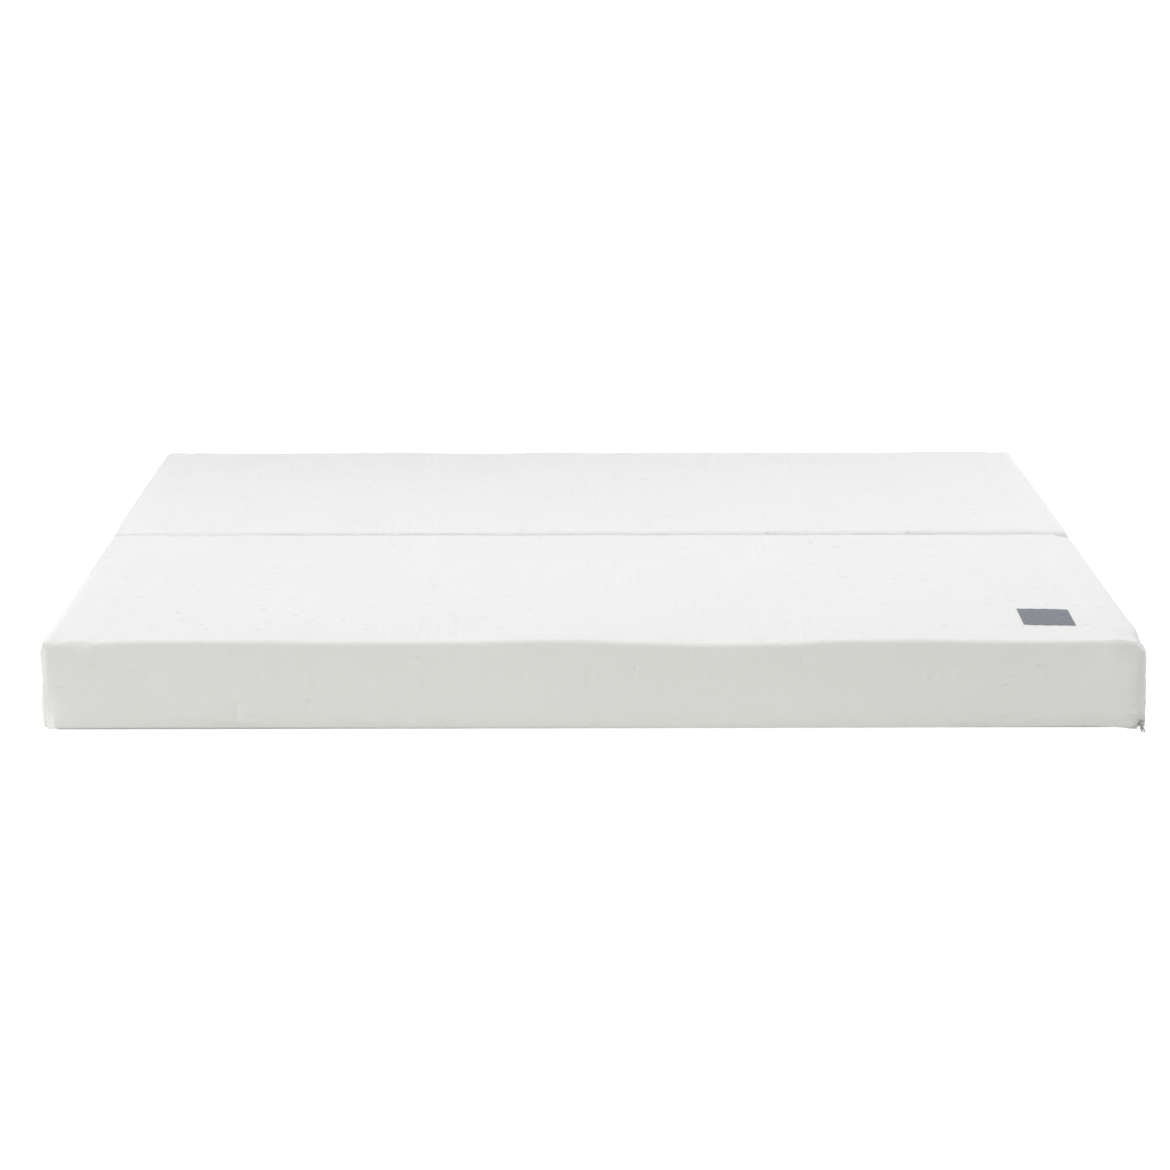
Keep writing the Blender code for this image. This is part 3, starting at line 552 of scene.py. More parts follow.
frontStyle = {
    "seed": 11,
    "seams": (0.942, 0.9488),  # end seams from the middle, left and right
    "seamRound": (0.0005, 0.0002),  # how far the cloth rounds down into them
    "outerCorner": (0.013, 0.025),  # radius of the upright outer corners
    "foldPlaces": (-0.95, -0.80, -0.50, 0.10, 0.95),
    "foldRadius": (0.0045, 0.005, 0.0095, 0.012, 0.014),  # there, of the top edge in the fold
    "footOut": (0.0042, 0.0070),
    "edgeRoom": 0.0010,
    "endBelly": (0.0014, 0.0030),
    "endDraw": (-0.0004, 0.0028),
    # middle in X, Y and Z, width, push in X, Y and Z
    "pressed": [(0.950, -0.650, 0.157, 0.034, (-0.0045, 0.0060, -0.0075)),
                (0.950, -0.612, 0.153, 0.026, (-0.0115, 0, 0)),
                (0.950, -0.001, 0.157, 0.030, (-0.0056, -0.0038, -0.0051))],
    # places in X, and there how far the outer top edge stands up
    "edgeRise": ((-0.95, -0.88, -0.77, -0.60, -0.44, -0.22, -0.13, -0.03, 0.06, 0.21, 0.30, 0.44, 0.56,
                  0.72, 0.85, 0.92),
                 (0.0020, 0.0015, 0.0048, 0.0042, 0.0012, 0.0017, 0.0044, 0.0040, 0, -0.0038, -0.0028, 0.0030, 0.0036,
                  0.0005, 0.0010, 0.0020)),
    "broad": 0.0005, "soft": 0.00018,
    "pucker": 0.00040, "foldPucker": 0.00014, "puckerLength": 0.016, "puckerReach": 0.016,
    # middle in X and Y, half width, half length, depth in metres, turn in degrees
    "creases": [(0.786, -0.452, 0.007, 0.022, 0.0009, 50), (0.925, -0.450, 0.008, 0.060, 0.0010, -6),
                (0.868, -0.185, 0.006, 0.030, 0.0006, 35), (0.903, -0.265, 0.006, 0.026, 0.0006, -25),
                (0.838, -0.356, 0.006, 0.030, 0.0006, 60),
                (0.723, -0.602, 0.006, 0.024, 0.0005, 70), (-0.808, -0.030, 0.005, 0.020, 0.0006, 80)],
    "tuck": True,
}
rearStyle = {
    "seed": 41,
    "seams": (0.9485, 0.9485),
    "seamRound": (0.0002, 0.0002),
    "outerCorner": (0.015, 0.015),
    "foldPlaces": (-0.95, -0.10, 0.50, 0.80, 0.95),
    "foldRadius": (0.014, 0.012, 0.0095, 0.005, 0.0045),
    "footOut": (0.0040, 0.0040),
    "edgeRoom": -0.0012,
    "endBelly": (0.0030, 0.0030),
    "endDraw": (-0.0008, -0.0030),
    "pressed": [],
    "edgeRise": ((-0.8, -0.35, 0.0, 0.25, 0.5, 0.7, 0.9), (0, -0.0006, 0, -0.0008, 0, -0.0004, 0)),
    "broad": 0.0006, "soft": 0.00022,
    "pucker": 0.00045, "foldPucker": 0.00014, "puckerLength": 0.016, "puckerReach": 0.018,
    "creases": [(0.207, -0.570, 0.006, 0.040, 0.0010, 2), (0.098, -0.527, 0.006, 0.030, 0.0007, -4),
                (0.036, -0.526, 0.006, 0.028, 0.0007, 3), (-0.039, -0.509, 0.006, 0.026, 0.0006, -5),
                (-0.066, -0.560, 0.006, 0.030, 0.0009, 2), (0.049, -0.360, 0.006, 0.026, 0.0008, 14),
                (0.223, -0.345, 0.006, 0.024, 0.0006, -8), (0.199, -0.385, 0.006, 0.020, 0.0006, 10),
                (0.228, -0.267, 0.006, 0.022, 0.0005, 0), (0.803, -0.600, 0.005, 0.016, 0.0007, 0),
                (-0.920, -0.540, 0.008, 0.040, 0.0016, -10), (0.830, -0.180, 0.006, 0.026, 0.0008, 70)],
    "tuck": False,
}

# places along the length, and there the flap's lower edge and how far it stands out
flapLook = {
    "places": (-0.9475, -0.943, -0.935, -0.929, -0.85, -0.79, -0.62, -0.40, 0.15, 0.60, 0.86, 0.905, 0.930,
               0.9365, 0.9390, 0.9475),
    "edge": (0.0030, 0.0030, 0.0022, 0.0062, 0.0064, 0.0054, 0.0051, 0.0048, 0.0043, 0.0042, 0.0046, 0.0034, 0.0050,
             0.0066, 0.0116, 0.0122),
    "reach": (0.0, 0.0010, 0.0050, 0.0095, 0.0095, 0.0072, 0.0065, 0.0065, 0.0082, 0.0080, 0.0067, 0.0072, 0.0085,
              0.0062, 0.0035, 0.0),
    "foot": 0.014,
    "top": 0.085,
    "flare": 0.0030,  # its last 16 mm turn out further
    "flareTop": 0.021,
    "tuckZ": 0.0262,
    "tucks": [(-0.730, -0.6385), (-0.6144, -0.5455), (-0.4576, -0.330), (-0.312, -0.300), (-0.276, -0.264)],
    # places in X and Z, depth, and how wide and high
    "hollows": [(0.638, 0.0122, 0.0009, 0.009, 0.0014), (0.672, 0.0122, 0.0009, 0.009, 0.0014),
                (0.705, 0.0122, 0.0009, 0.009, 0.0014), (0.871, 0.0150, 0.0014, 0.006, 0.0022)],
}


def rimRise(y):
    # 0 along the zip, where the base has no rim, and 1 further in
    return smooth(form["outerY"] + form["rimStart"], form["outerY"] + form["rimEnd"], y)


def topPanel(style, step):
    # section: up the outer side, over the top and down to the seam in the fold; carried along X
    left, right = style["seams"]
    gap = form["seamGap"]
    x = spaced(-left + gap, right - gap, step, 0.03, 0.03, 0.0006)
    fromEnd = halfLength - np.abs(x)
    drop = quarterRound(fromEnd, form["topRadius"])
    outer = form["outerY"] + quarterRound(fromEnd, np.where(x < 0, *style["outerCorner"]))
    inner = form["foldY"] - quarterRound(fromEnd, form["cornerRadius"])
    top = form["height"] - drop
    out = form["outerRadius"]
    r = eased(x, style["foldPlaces"], style["foldRadius"])
    hem = np.interp(x, flapLook["places"], flapLook["edge"])
    climb = np.concatenate([np.arange(0, 0.0301, 0.0009), spaced(0.0315, 0.133, 0.0068)])
    up = (climb / climb[-1])[:, None]
    quarter = np.linspace(0, math.pi / 2, 7)[1:-1, None]
    flat = (spaced(0, 0.62, step, 0.02, 0.02, 0.0025) / 0.62)[:, None]
    down = spaced(0, 1, 0.25, 0, 0.7, 0.12)[:, None]
    seamZ = form["foldSeamZ"] + gap
    rows = [
        (outer + 0 * up, hem + (top - out - hem) * up),
        (outer + out - out * np.cos(quarter), top - out + out * np.sin(quarter)),
        (outer + out + (inner - outer - out - r) * flat, top + 0 * flat),
        (inner - r + r * np.sin(quarter), top - r + r * np.cos(quarter)),
        (inner + 0 * down, top - r + (seamZ - top + r) * down),
    ]
    y = np.concatenate([part[0] for part in rows])
    z = np.concatenate([part[1] for part in rows])
    points = np.stack([np.broadcast_to(x, y.shape), y, z], axis=-1)
    return points, x, gone(points[:, len(x) // 2])


def seamDip(away, reach=0.004):
    # 1 at a seam and 0 from a reach away, as a quarter round
    return quarterRound(away, reach) / reach


def flapOut(points, x):
    # the flap over the zip stands forward of the side, most at its lower edge
    z = points[..., 2]
    reach = np.interp(x, flapLook["places"], flapLook["reach"])
    lean = reach * (1 - smooth(flapLook["foot"], flapLook["top"], z))
    flare = reach / max(flapLook["reach"]) * flapLook["flare"] * (1 - smooth(0.0045, flapLook["flareTop"], z))
    moved = points.copy()
    moved[..., 1] -= (lean + flare) * (points[..., 1] < centreY)
    return moved


simLook = {"frames": 20, "pressure": 4.0, "growth": 0.012, "cap": 0.0022, "step": 0.0105}


def simulated(points, free, cap):
    # Blender's cloth under pressure: sewn where free is 0, loose where it is 1; gives each point's move
    sheet = meshFrom("simSheet", points, gridQuads(*points.shape[:2]))
    sewn = sheet.vertex_groups.new(name="sewn")
    hold = np.round(1 - free.ravel(), 1)
    for level in np.unique(hold):
        sewn.add(np.flatnonzero(hold == level).tolist(), float(level), "REPLACE")
    cloth = sheet.modifiers.new("Cloth", "CLOTH")
    made = cloth.settings
    made.quality = 5
    made.mass = 0.3
    made.tension_stiffness = made.compression_stiffness = 12
    made.shear_stiffness = 5
    made.bending_stiffness = 0.2
    made.vertex_group_mass = "sewn"
    made.use_pressure = True
    made.uniform_pressure_force = simLook["pressure"]
    made.shrink_min = -simLook["growth"]
    made.effector_weights.gravity = 0
    cloth.collision_settings.use_collision = False
    cloth.point_cache.frame_start, cloth.point_cache.frame_end = 1, simLook["frames"]
    for step in range(1, simLook["frames"] + 1):
        scene.frame_set(step)
    shape = sheet.evaluated_get(bpy.context.evaluated_depsgraph_get()).to_mesh()
    end = np.zeros(points.size, np.float32)
    shape.vertices.foreach_get("co", end)
    move = end.reshape(points.shape) - points
    bpy.data.objects.remove(sheet, do_unlink=True)
    scene.frame_set(1)
    long = np.linalg.norm(move, axis=-1, keepdims=True)
    print("cloth: points", len(hold), "mean move", round(float(long.mean()) * 1000, 2), "mm")
    return move * np.minimum(1, cap / np.maximum(long, 1e-9))


def loosened(points, rows, columns, near):
    # the simulation's move, worked out on a coarser grid and read back on this one
    i, j = thinned(rows, simLook["step"]), thinned(columns, simLook["step"])
    free = smooth(0.0, 0.012, near) * (1 - 0.8 * smooth(0.05, 0.13, near))
    move = simulated(points[np.ix_(i, j)], free[np.ix_(i, j)], simLook["cap"])
    return points + bilinear(move, rows[i], columns[j], rows[:, None], columns[None, :])


def tuckLines(x, z):
    # a fold line over the zip in a few stretches: the cloth steps out on its way down and comes back slowly
    on = sum(smooth(a - 0.006, a + 0.006, x) * (1 - smooth(b - 0.006, b + 0.006, x)) for a, b in flapLook["tucks"])
    at = flapLook["tuckZ"] - 0.0045 * (x + 0.68)
    return on * 0.0018 * (1 - smooth(at - 0.0010, at + 0.0010, z)) * np.exp(-np.maximum(at - z, 0) / 0.006)


def creaseRelief(x, y, creases):
    # each crease is a long narrow bell, turned by its angle, with a hollow beside it
    total = 0 * x
    for cx, cy, narrow, long, amount, angle in creases:
        turn = math.radians(angle)
        a = (x - cx) * math.cos(turn) + (y - cy) * math.sin(turn)
        b = (y - cy) * math.cos(turn) - (x - cx) * math.sin(turn)
        wide = 1.3 * narrow
        total = total + 1.7 * amount * bell(b, 0, long) * (bell(a, 0, wide) - 0.7 * bell(a, 1.6 * wide, wide))
    return total


roomLook = {"level": 0.1587, "round": 0.0013, "pullStart": 0.9372, "pullEnd": 0.9390, "pullBack": -0.6531}


def madeRoom(points, style):
    # above a level the top flattens, level + r tanh((z - level) / r), for the other half that folds onto it
    # behind the lifted pull the cloth keeps back
    x, y, z = points[..., 0], points[..., 1], points[..., 2]
    look = roomLook
    level = look["level"] + style["edgeRoom"] * np.clip((centreY - y) / (halfDepth / 2), 0, 1) ** 3
    over = np.maximum(z - level, 0)
    moved = points.copy()
    moved[..., 2] = np.minimum(z, level) + look["round"] * np.tanh(over / look["round"])
    behind = smooth(look["pullStart"], look["pullEnd"], x) * (1 - smooth(0.034, 0.050, z)) * (y < centreY)
    moved[..., 1] = y + np.maximum(look["pullBack"] - y, 0) * behind
    return moved


def dressedTop(style, step):
    points, x, across = topPanel(style, step)
    points = flapOut(softened(points, style), x)
    u, v = np.broadcast_arrays(x[None, :], across[:, None])
    left, right = style["seams"]
    fromLeft, fromRight = u + left, right - u
    fromEnd, fromFold, fromHem = np.minimum(fromLeft, fromRight), across[-1] - v, v
    points = loosened(points, across, x, np.minimum.reduce([fromEnd, fromFold, fromHem]))
    seed = style["seed"]
    # broad hollows and swells, then finer ones
    relief = style["broad"] * clothNoise(u, v, 0.34, seed) + style["soft"] * clothNoise(u, v, 0.11, seed + 1)
    relief = relief * smooth(0.0, 0.05, fromEnd) * smooth(0.0, 0.04, fromFold) * smooth(0.0, 0.03, fromHem)
    # puckers square to each seam, dying out away from it
    for away, along, number, kind in ((fromEnd, v, 2, "pucker"), (fromFold, u, 3, "foldPucker")):
        gather = gathers(along, style["puckerLength"], seed + number)
        relief = relief + style[kind] * gather * np.exp(-away / style["puckerReach"])
    relief = relief + creaseRelief(u, points[..., 1], style["creases"]) * (v > 0.16)
    if style["tuck"]:
        foot, z = v < 0.05, points[..., 2]
        relief = relief + foot * tuckLines(u, z)
        for cx, cz, depth, wide, high in flapLook["hollows"]:
            relief = relief - depth * foot * bell(u, cx, wide) * bell(z, cz, high)
    # the cloth rounds down into its seams
    for away, depth in zip((fromLeft, fromRight), style["seamRound"]):
        relief = relief - seamDip(away) * depth
    relief = relief - quarterRound(fromFold, 0.003) * 0.7
    return madeRoom(pushed(points, relief), style), np.stack([u, v], axis=-1), x, across


def endPanel(side, style):
    # rows climb the end from its foot and columns cross it; it swells out from its seam to the flat end
    pick = (side + 1) // 2  # 0 at the left end and 1 at the right
    seam = style["seams"][pick] + form["seamGap"]
    swell = halfLength - seam
    outerR, innerR, r = style["outerCorner"][pick], form["cornerRadius"], form["topRadius"]
    edgeR = style["foldRadius"][pick - 1]
    insetOuter = float(quarterRound(swell, outerR))
    insetInner = float(quarterRound(swell, innerR))
    drop = float(quarterRound(swell, r))
    top = form["height"] - drop
    z = np.concatenate([
        spaced(0.0, top - r, 0.0065, 0.012, 0, 0.0008),
        top - r + r * np.sin(np.linspace(0, math.pi / 2, 14)[1:]),
    ])[:, None]
    shrinkOuter = quarterRound(top - z, form["outerRadius"])
    shrinkInner = quarterRound(top - z, edgeR)
    share = spaced(0, 1, 0.0115, 0.05, 0.05, 0.0009)[None, :]
    low, high = form["outerY"] + insetOuter + shrinkOuter, form["foldY"] - insetInner - shrinkInner
    y = low + (high - low) * share
    fromOuter, fromInner = y - low, high - y
    fromSide = np.minimum(fromOuter, fromInner)
    overArc = np.clip((z - top + r) / r, -1, 1)
    fromArc = np.where(z > top - r, r * np.arccos(overArc), top - r - z + r * math.pi / 2) + 0 * y
    fromTop = top - z + 0 * y
    atSides = quarterRound(insetOuter + fromOuter, outerR) + quarterRound(insetInner + fromInner, innerR)
    sideSwell = 1 - atSides / swell
    topSwell = 1 - quarterRound(drop + fromTop, r) / swell
    out = seam + swell * np.clip(sideSwell, 0, 1) * np.clip(topSwell, 0, 1)
    # the foot stops at the base's rim, but for the front corner, where it reaches the floor
    # at the slider's end it stays above the zip
    corner = flapLook["edge"][-pick]
    foot = corner + (form["rimZ"] + form["seamGap"] - corner) * rimRise(y)
    height = foot + z * (top - foot) / top
    out = side * (out - quarterRound(height, form["footRadius"]) * smooth(0.0, 0.02, fromSide))
    points = softened(np.stack([out, y, height], axis=-1), style)
    u, v = np.broadcast_arrays(y, z)
    near = np.minimum.reduce([fromSide, fromArc, height])
    # the left end's columns are turned round for the cloth, whose pressure acts on the sheet's outer face
    across = (share[0] - 0.5) * halfDepth
    points = loosened(points[:, ::side], z[:, 0], side * across[::side], near[:, ::side])[:, ::side]
    seed = style["seed"] + (20 if side > 0 else 30)
    relief = 0.0006 * clothNoise(u, v, 0.22, seed) + 0.0002 * clothNoise(u, v, 0.07, seed + 1)
    relief = relief * smooth(0, 0.03, fromSide) * smooth(0, 0.03, fromArc) * smooth(0, 0.02, height)
    gather = gathers(v, form["endGather"], seed + 2)
    relief = relief + 1.3 * style["pucker"] * gather * np.exp(-fromSide / style["puckerReach"])
    gather = gathers(u, form["endGather"], seed + 3)
    relief = relief + style["pucker"] * gather * np.exp(-fromArc / style["puckerReach"]) * smooth(0, 0.01, fromSide)
    relief = relief - seamDip(np.minimum(fromSide, fromArc)) * style["seamRound"][pick]
    points = pushed(points, side * relief)
    uv = np.stack([u, v], axis=-1)
    return points[:, ::side], uv[:, ::side]


def foldSidePanel(style):
    # a band along the fold, from the rim of the base up to the top panel's seam
    left, right = style["seams"]
    gap = form["seamGap"]
    x = spaced(-left + gap, right - gap, 0.012, 0.03, 0.03, 0.0008)[::-1]
    z = spaced(form["rimZ"] + gap, form["foldSeamZ"] - gap, 0.010, 0.012, 0.012, 0.0008)
    y = form["foldY"] - quarterRound(halfLength - np.abs(x), form["cornerRadius"])
    grid = np.broadcast_arrays(x[None, :], y[None, :], z[:, None])
    points = softened(np.stack(grid, axis=-1), style)
    u, v = grid[0], grid[2]
    fromEnd = np.minimum(u + left, right - u)
    fromTop, fromFoot = form["foldSeamZ"] - v, v - form["rimZ"]
    near = np.minimum.reduce([fromEnd, fromTop, fromFoot])
    gather = gathers(u, form["foldGather"], style["seed"] + 50)
    # pressed by the other half, so every swell goes inwards
    relief = -0.0005 * (1 + clothNoise(u, v, 0.09, style["seed"] + 51)) * smooth(0, 0.03, near)
    relief = relief - 0.0004 * (1 + gather) * np.exp(-fromTop / 0.015)
    relief = relief - quarterRound(near, 0.003) * 0.6
    return pushed(points, relief), np.stack([u, v], axis=-1)


def basePanel(style):
    # the underside with a low rim that rounds up, but for the stretch along the zip
    innerR = form["cornerRadius"]
    front = form["outerY"] + form["baseFront"]
    y = np.concatenate([
        spaced(front, form["foldY"] - innerR, 0.012, 0.01, 0, 0.0015)[:-1],
        form["foldY"] - innerR + innerR * np.sin(np.linspace(0, math.pi / 2, 22)),
    ])[:, None]
    rim = rimRise(y)
    share = spaced(-1, 1, 0.0126, 0.03, 0.03, 0.0003)[None, :]
    corner = quarterRound(y - form["outerY"], np.where(share < 0, *style["outerCorner"]))
    reach = halfLength - quarterRound(form["foldY"] - y, innerR) - corner - 0.0024 * (1 - rim)
    x = share * reach
    fromSide, fromBack = (1 - np.abs(share)) * reach, form["foldY"] - y + 0 * x
    near = np.minimum(fromSide, fromBack)
    z = quarterRound(near, form["footRadius"]) * rim + form["baseZ"]
    u, v = np.broadcast_arrays(x, y)
    ripple = 0.00021 * (1 + clothNoise(u, v, 0.10, style["seed"] + 60))
    z = z + ripple * smooth(0.01, 0.06, near) * smooth(0.0, 0.05, v - front)
    points = spread(np.stack([u, v, z], axis=-1), style)
    return points[:, ::-1], np.stack([u, v], axis=-1)[:, ::-1]


def foamCore(style):
    # a closed section carried along X, with its end stations drawn in by a quarter round
    gap = form["foamInset"]
    low, high = form["outerY"] + gap, form["foldY"] - gap
    top = form["height"] - gap
    chaseY, chaseZ = form["outerY"] + form["chaseDepth"], form["chaseTop"]
    r = form["topRadius"] - 0.001
    quarter = np.linspace(0, math.pi / 2, 6)
    over = np.linspace(low + r, high - r, 30)[1:-1]
    under = np.linspace(high, chaseY, 30)[1:-1]
    y = np.concatenate([[chaseY, chaseY, low], low + r - r * np.cos(quarter), over,
                        high - r + r * np.sin(quarter), [high], under])
    z = np.concatenate([[gap, chaseZ, chaseZ], top - r + r * np.sin(quarter), top + 0 * over,
                        top - r + r * np.cos(quarter), [gap], gap + 0 * under])
    x = spaced(-halfLength + gap, halfLength - gap, 0.03, 0.03, 0.03, 0.002)[:, None]
    shrink = quarterRound(halfLength - gap - np.abs(x), form["foamEnd"])
    middle = ((low + high) / 2, top / 2)
    drawnY = middle[0] + np.sign(y - middle[0]) * np.maximum(np.abs(y - middle[0]) - shrink, 0.004)
    drawnZ = middle[1] + np.sign(z - middle[1]) * np.maximum(np.abs(z - middle[1]) - shrink, 0.004)
    points = softened(np.stack(np.broadcast_arrays(x, drawnY, drawnZ), axis=-1), style)
    index = np.arange(points.shape[0] * points.shape[1]).reshape(points.shape[:2])
    beside = np.roll(index, -1, axis=1)
    quads = np.stack([index[:-1], beside[:-1], beside[1:], index[1:]], axis=-1).reshape(-1, 4)
    return points, [*quads.tolist(), index[0][::-1].tolist(), index[-1].tolist()]


def settle(made, body, nodes):
    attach(made, body)
    if nodes:
        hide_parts(*nodes)
    return made


def layCloth(made, body, nodes):
    settle(made, body, nodes)


# The zip: tapes, coils, the lower hem and the rows of stitches

sliderLow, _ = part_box("front_zip_slider")
zipLook = {
    "tapeY": tapeLow.y, "tapeWall": 0.0007, "tapeTop": 0.0200, "tapeUnder": -0.6367, "tapeBend": 0.0007,
    "tapeFloor": 0.0003, "tapeSplit": (0.0057, 0.0073),  # the two tapes' edges beside the chain
    "startX": tapeLow.x, "endX": tapeHigh.x, "coilStart": tapeLow.x + 0.0014, "coilEnd": tapeHigh.x - 0.0014,
    "coilY": -0.6500, "coilZ": (0.0046, 0.0084), "coilHalf": 0.00108, "coilDeep": 0.00098,
    "wire": 0.00034, "pitch": 0.0020, "cord": 0.00055,
    "lipFront": -0.6504, "lipBack": -0.6476, "lipTop": 0.0008, "lipRound": 0.0006, "lipWall": 0.0009,
    "lipEnd": sliderLow.x - 0.0005, "floorGap": 0.0002,
    # by the slider the hem's foot comes forward in two steps, its top line moves forward and stands up
    "spread": ((0.0050, 0.900, 0.925), (0.0062, 0.905, 0.940)), "spreadTop": 0.0048, "spreadUp": 0.0042,
    "stitch": (0.0040, 0.0030, 0.00030),  # pitch, length and radius
    "stitchUp": 0.0031, "stitchRun": (-0.925, 0.930),  # how far above the flap's edge, and from where to where
}


def tapePiece(word, name, profile, place):
    # a flat woven band: its section in Y and Z carried along X, with a slight wander
    x = spaced(zipLook["startX"], zipLook["endX"], 0.012, 0, 0.03, 0.0015)
    section = np.array(profile)
    across = gone(section)
    u, v = np.broadcast_arrays(x[None, :], across[:, None])
    wander = 0.00010 * (clothNoise(u, v, 0.05, 5) - 1) * (section[:, 1:2] > 0.001)
    points = np.stack([u, section[:, 0:1] - wander, section[:, 1:2] + 0 * u], axis=-1)
    made = gridPiece(f"{word}{name}", place(points), np.stack([u, v], axis=-1), zipLook["tapeWall"], tapeWhite)
    return made, (float(x[-1] - x[0]), float(across[-1]))


def coilPiece(word, name, z, place):
    # a nylon wire wound flat about a cord: (x, y + a sin t, z + b cos t), x by one pitch a turn
    turns = (zipLook["coilEnd"] - zipLook["coilStart"]) / zipLook["pitch"]
    t = np.linspace(0, 2 * math.pi * turns, int(turns * 7) + 1)
    wire = zipLook["wire"]
    x = zipLook["coilStart"] + zipLook["pitch"] * t / (2 * math.pi)
    path = np.stack([x, zipLook["coilY"] + (zipLook["coilDeep"] - wire) * np.sin(t),
                     z + (zipLook["coilHalf"] - wire) * np.cos(t)], axis=-1)
    wound = tubeRings(path, np.full(len(t), wire), 5, (1, 0, 0))
    straight = np.stack([np.linspace(x[0], x[-1], 60), np.full(60, zipLook["coilY"]), np.full(60, z)], axis=-1)
    cord = tubeRings(straight, np.full(60, zipLook["cord"]), 6, (0, 0, 1))
    faces = tubeFaces(1, len(t), 5)
    start = wound.size // 3
    faces += [[start + i for i in face] for face in tubeFaces(1, 60, 6)]
    points = np.concatenate([wound.reshape(-1, 3), cord.reshape(-1, 3)])
    return meshFrom(f"{word}{name}", place(points), faces, material=coilWhite)


def lowerHem(word, style, place):
    # the base's hem below the zip: a foot on the floor, a rounded front and a rolled top, carried along X
    # its loose end by the slider comes forward on the floor and stands up under the flap
    look = zipLook
    x = spaced(look["startX"] + 0.003, look["lipEnd"], 0.008, 0.01, 0.03, 0.0012)
    wavy = 0.0003 * clothNoise(x, 0 * x, 0.045, style["seed"] + 70, 14, 0.5) * (1 - smooth(0.86, 0.88, x))
    front = look["lipFront"]
    for amount, start, end in look["spread"]:
        front = front - amount * smooth(start, end, x)
    front = front + wavy
    top = look["lipTop"] + look["spreadUp"] * smooth(0.900, 0.920, x)
    r, back, low = look["lipRound"], look["lipBack"], look["floorGap"]
    turn = np.linspace(0, math.pi / 2, 6)
    foot = np.linspace(0, 1, 6)
    y = [back + (front + r - back) * t for t in foot] + [front + r - r * math.sin(t) for t in turn[1:]]
    z = [low + 0 * x for t in foot] + [low + r - r * math.cos(t) for t in turn[1:]]
    z = [np.broadcast_to(row, x.shape) for row in z]
    # up the front, or back over the spread end, to the top line
    lipY = look["lipFront"] - look["spreadTop"] * smooth(0.900, 0.925, x) + low
    for t in np.linspace(0, 1, 9)[1:]:
        y.append(front + (lipY - front) * t - 0.0003 * math.sin(math.pi * t))
        z.append(r + low + (top - r - low) * (t + 0.10 * math.sin(math.pi * t)))
    for t in np.linspace(0, math.pi, 6)[1:]:
        y.append(lipY + 0.0005 - 0.0005 * math.cos(t) + 0 * x)
        z.append(top + 0.0004 * math.sin(t))
    y, z = np.array(y), np.array(z)
    u = np.broadcast_to(x, y.shape)
    points = np.stack([u, y, z], axis=-1)
    across = gone(points[:, 0])
    uv = np.stack(np.broadcast_arrays(u, across[:, None]), axis=-1)
    made = gridPiece(f"{word}LowerHem", place(points), uv, look["lipWall"], knit)
    return made, (float(x[-1] - x[0]), max(0.0102, float(across[-1])))


def stitchRow(name, path, outward, pitch, length, radius, material):
    # short threads on a path: each a low arch whose ends sink in, r sqrt(1 - (2t - 1)^2 / 2) thick
    far = gone(path)
    starts = np.arange(pitch, far[-1] - pitch, pitch)
    t = np.linspace(0, 1, 5)
    along = starts[:, None] + length * t[None, :]
    centre, normal = (np.stack([np.interp(along, far, given[:, k]) for k in range(3)], axis=-1)
                      for given in (path, outward))
    normal = normal / np.linalg.norm(normal, axis=-1, keepdims=True)
    arch = radius * (1.1 * np.sin(math.pi * t) - 0.45)
    centre = centre + normal * arch[None, :, None]
    thick = np.broadcast_to(radius * np.sqrt(1 - (2 * t - 1) ** 2 / 2), along.shape)
    rings = tubeRings(centre, thick, 5, normal)
    return meshFrom(name, rings, tubeFaces(len(starts), len(t), 5), material=material)


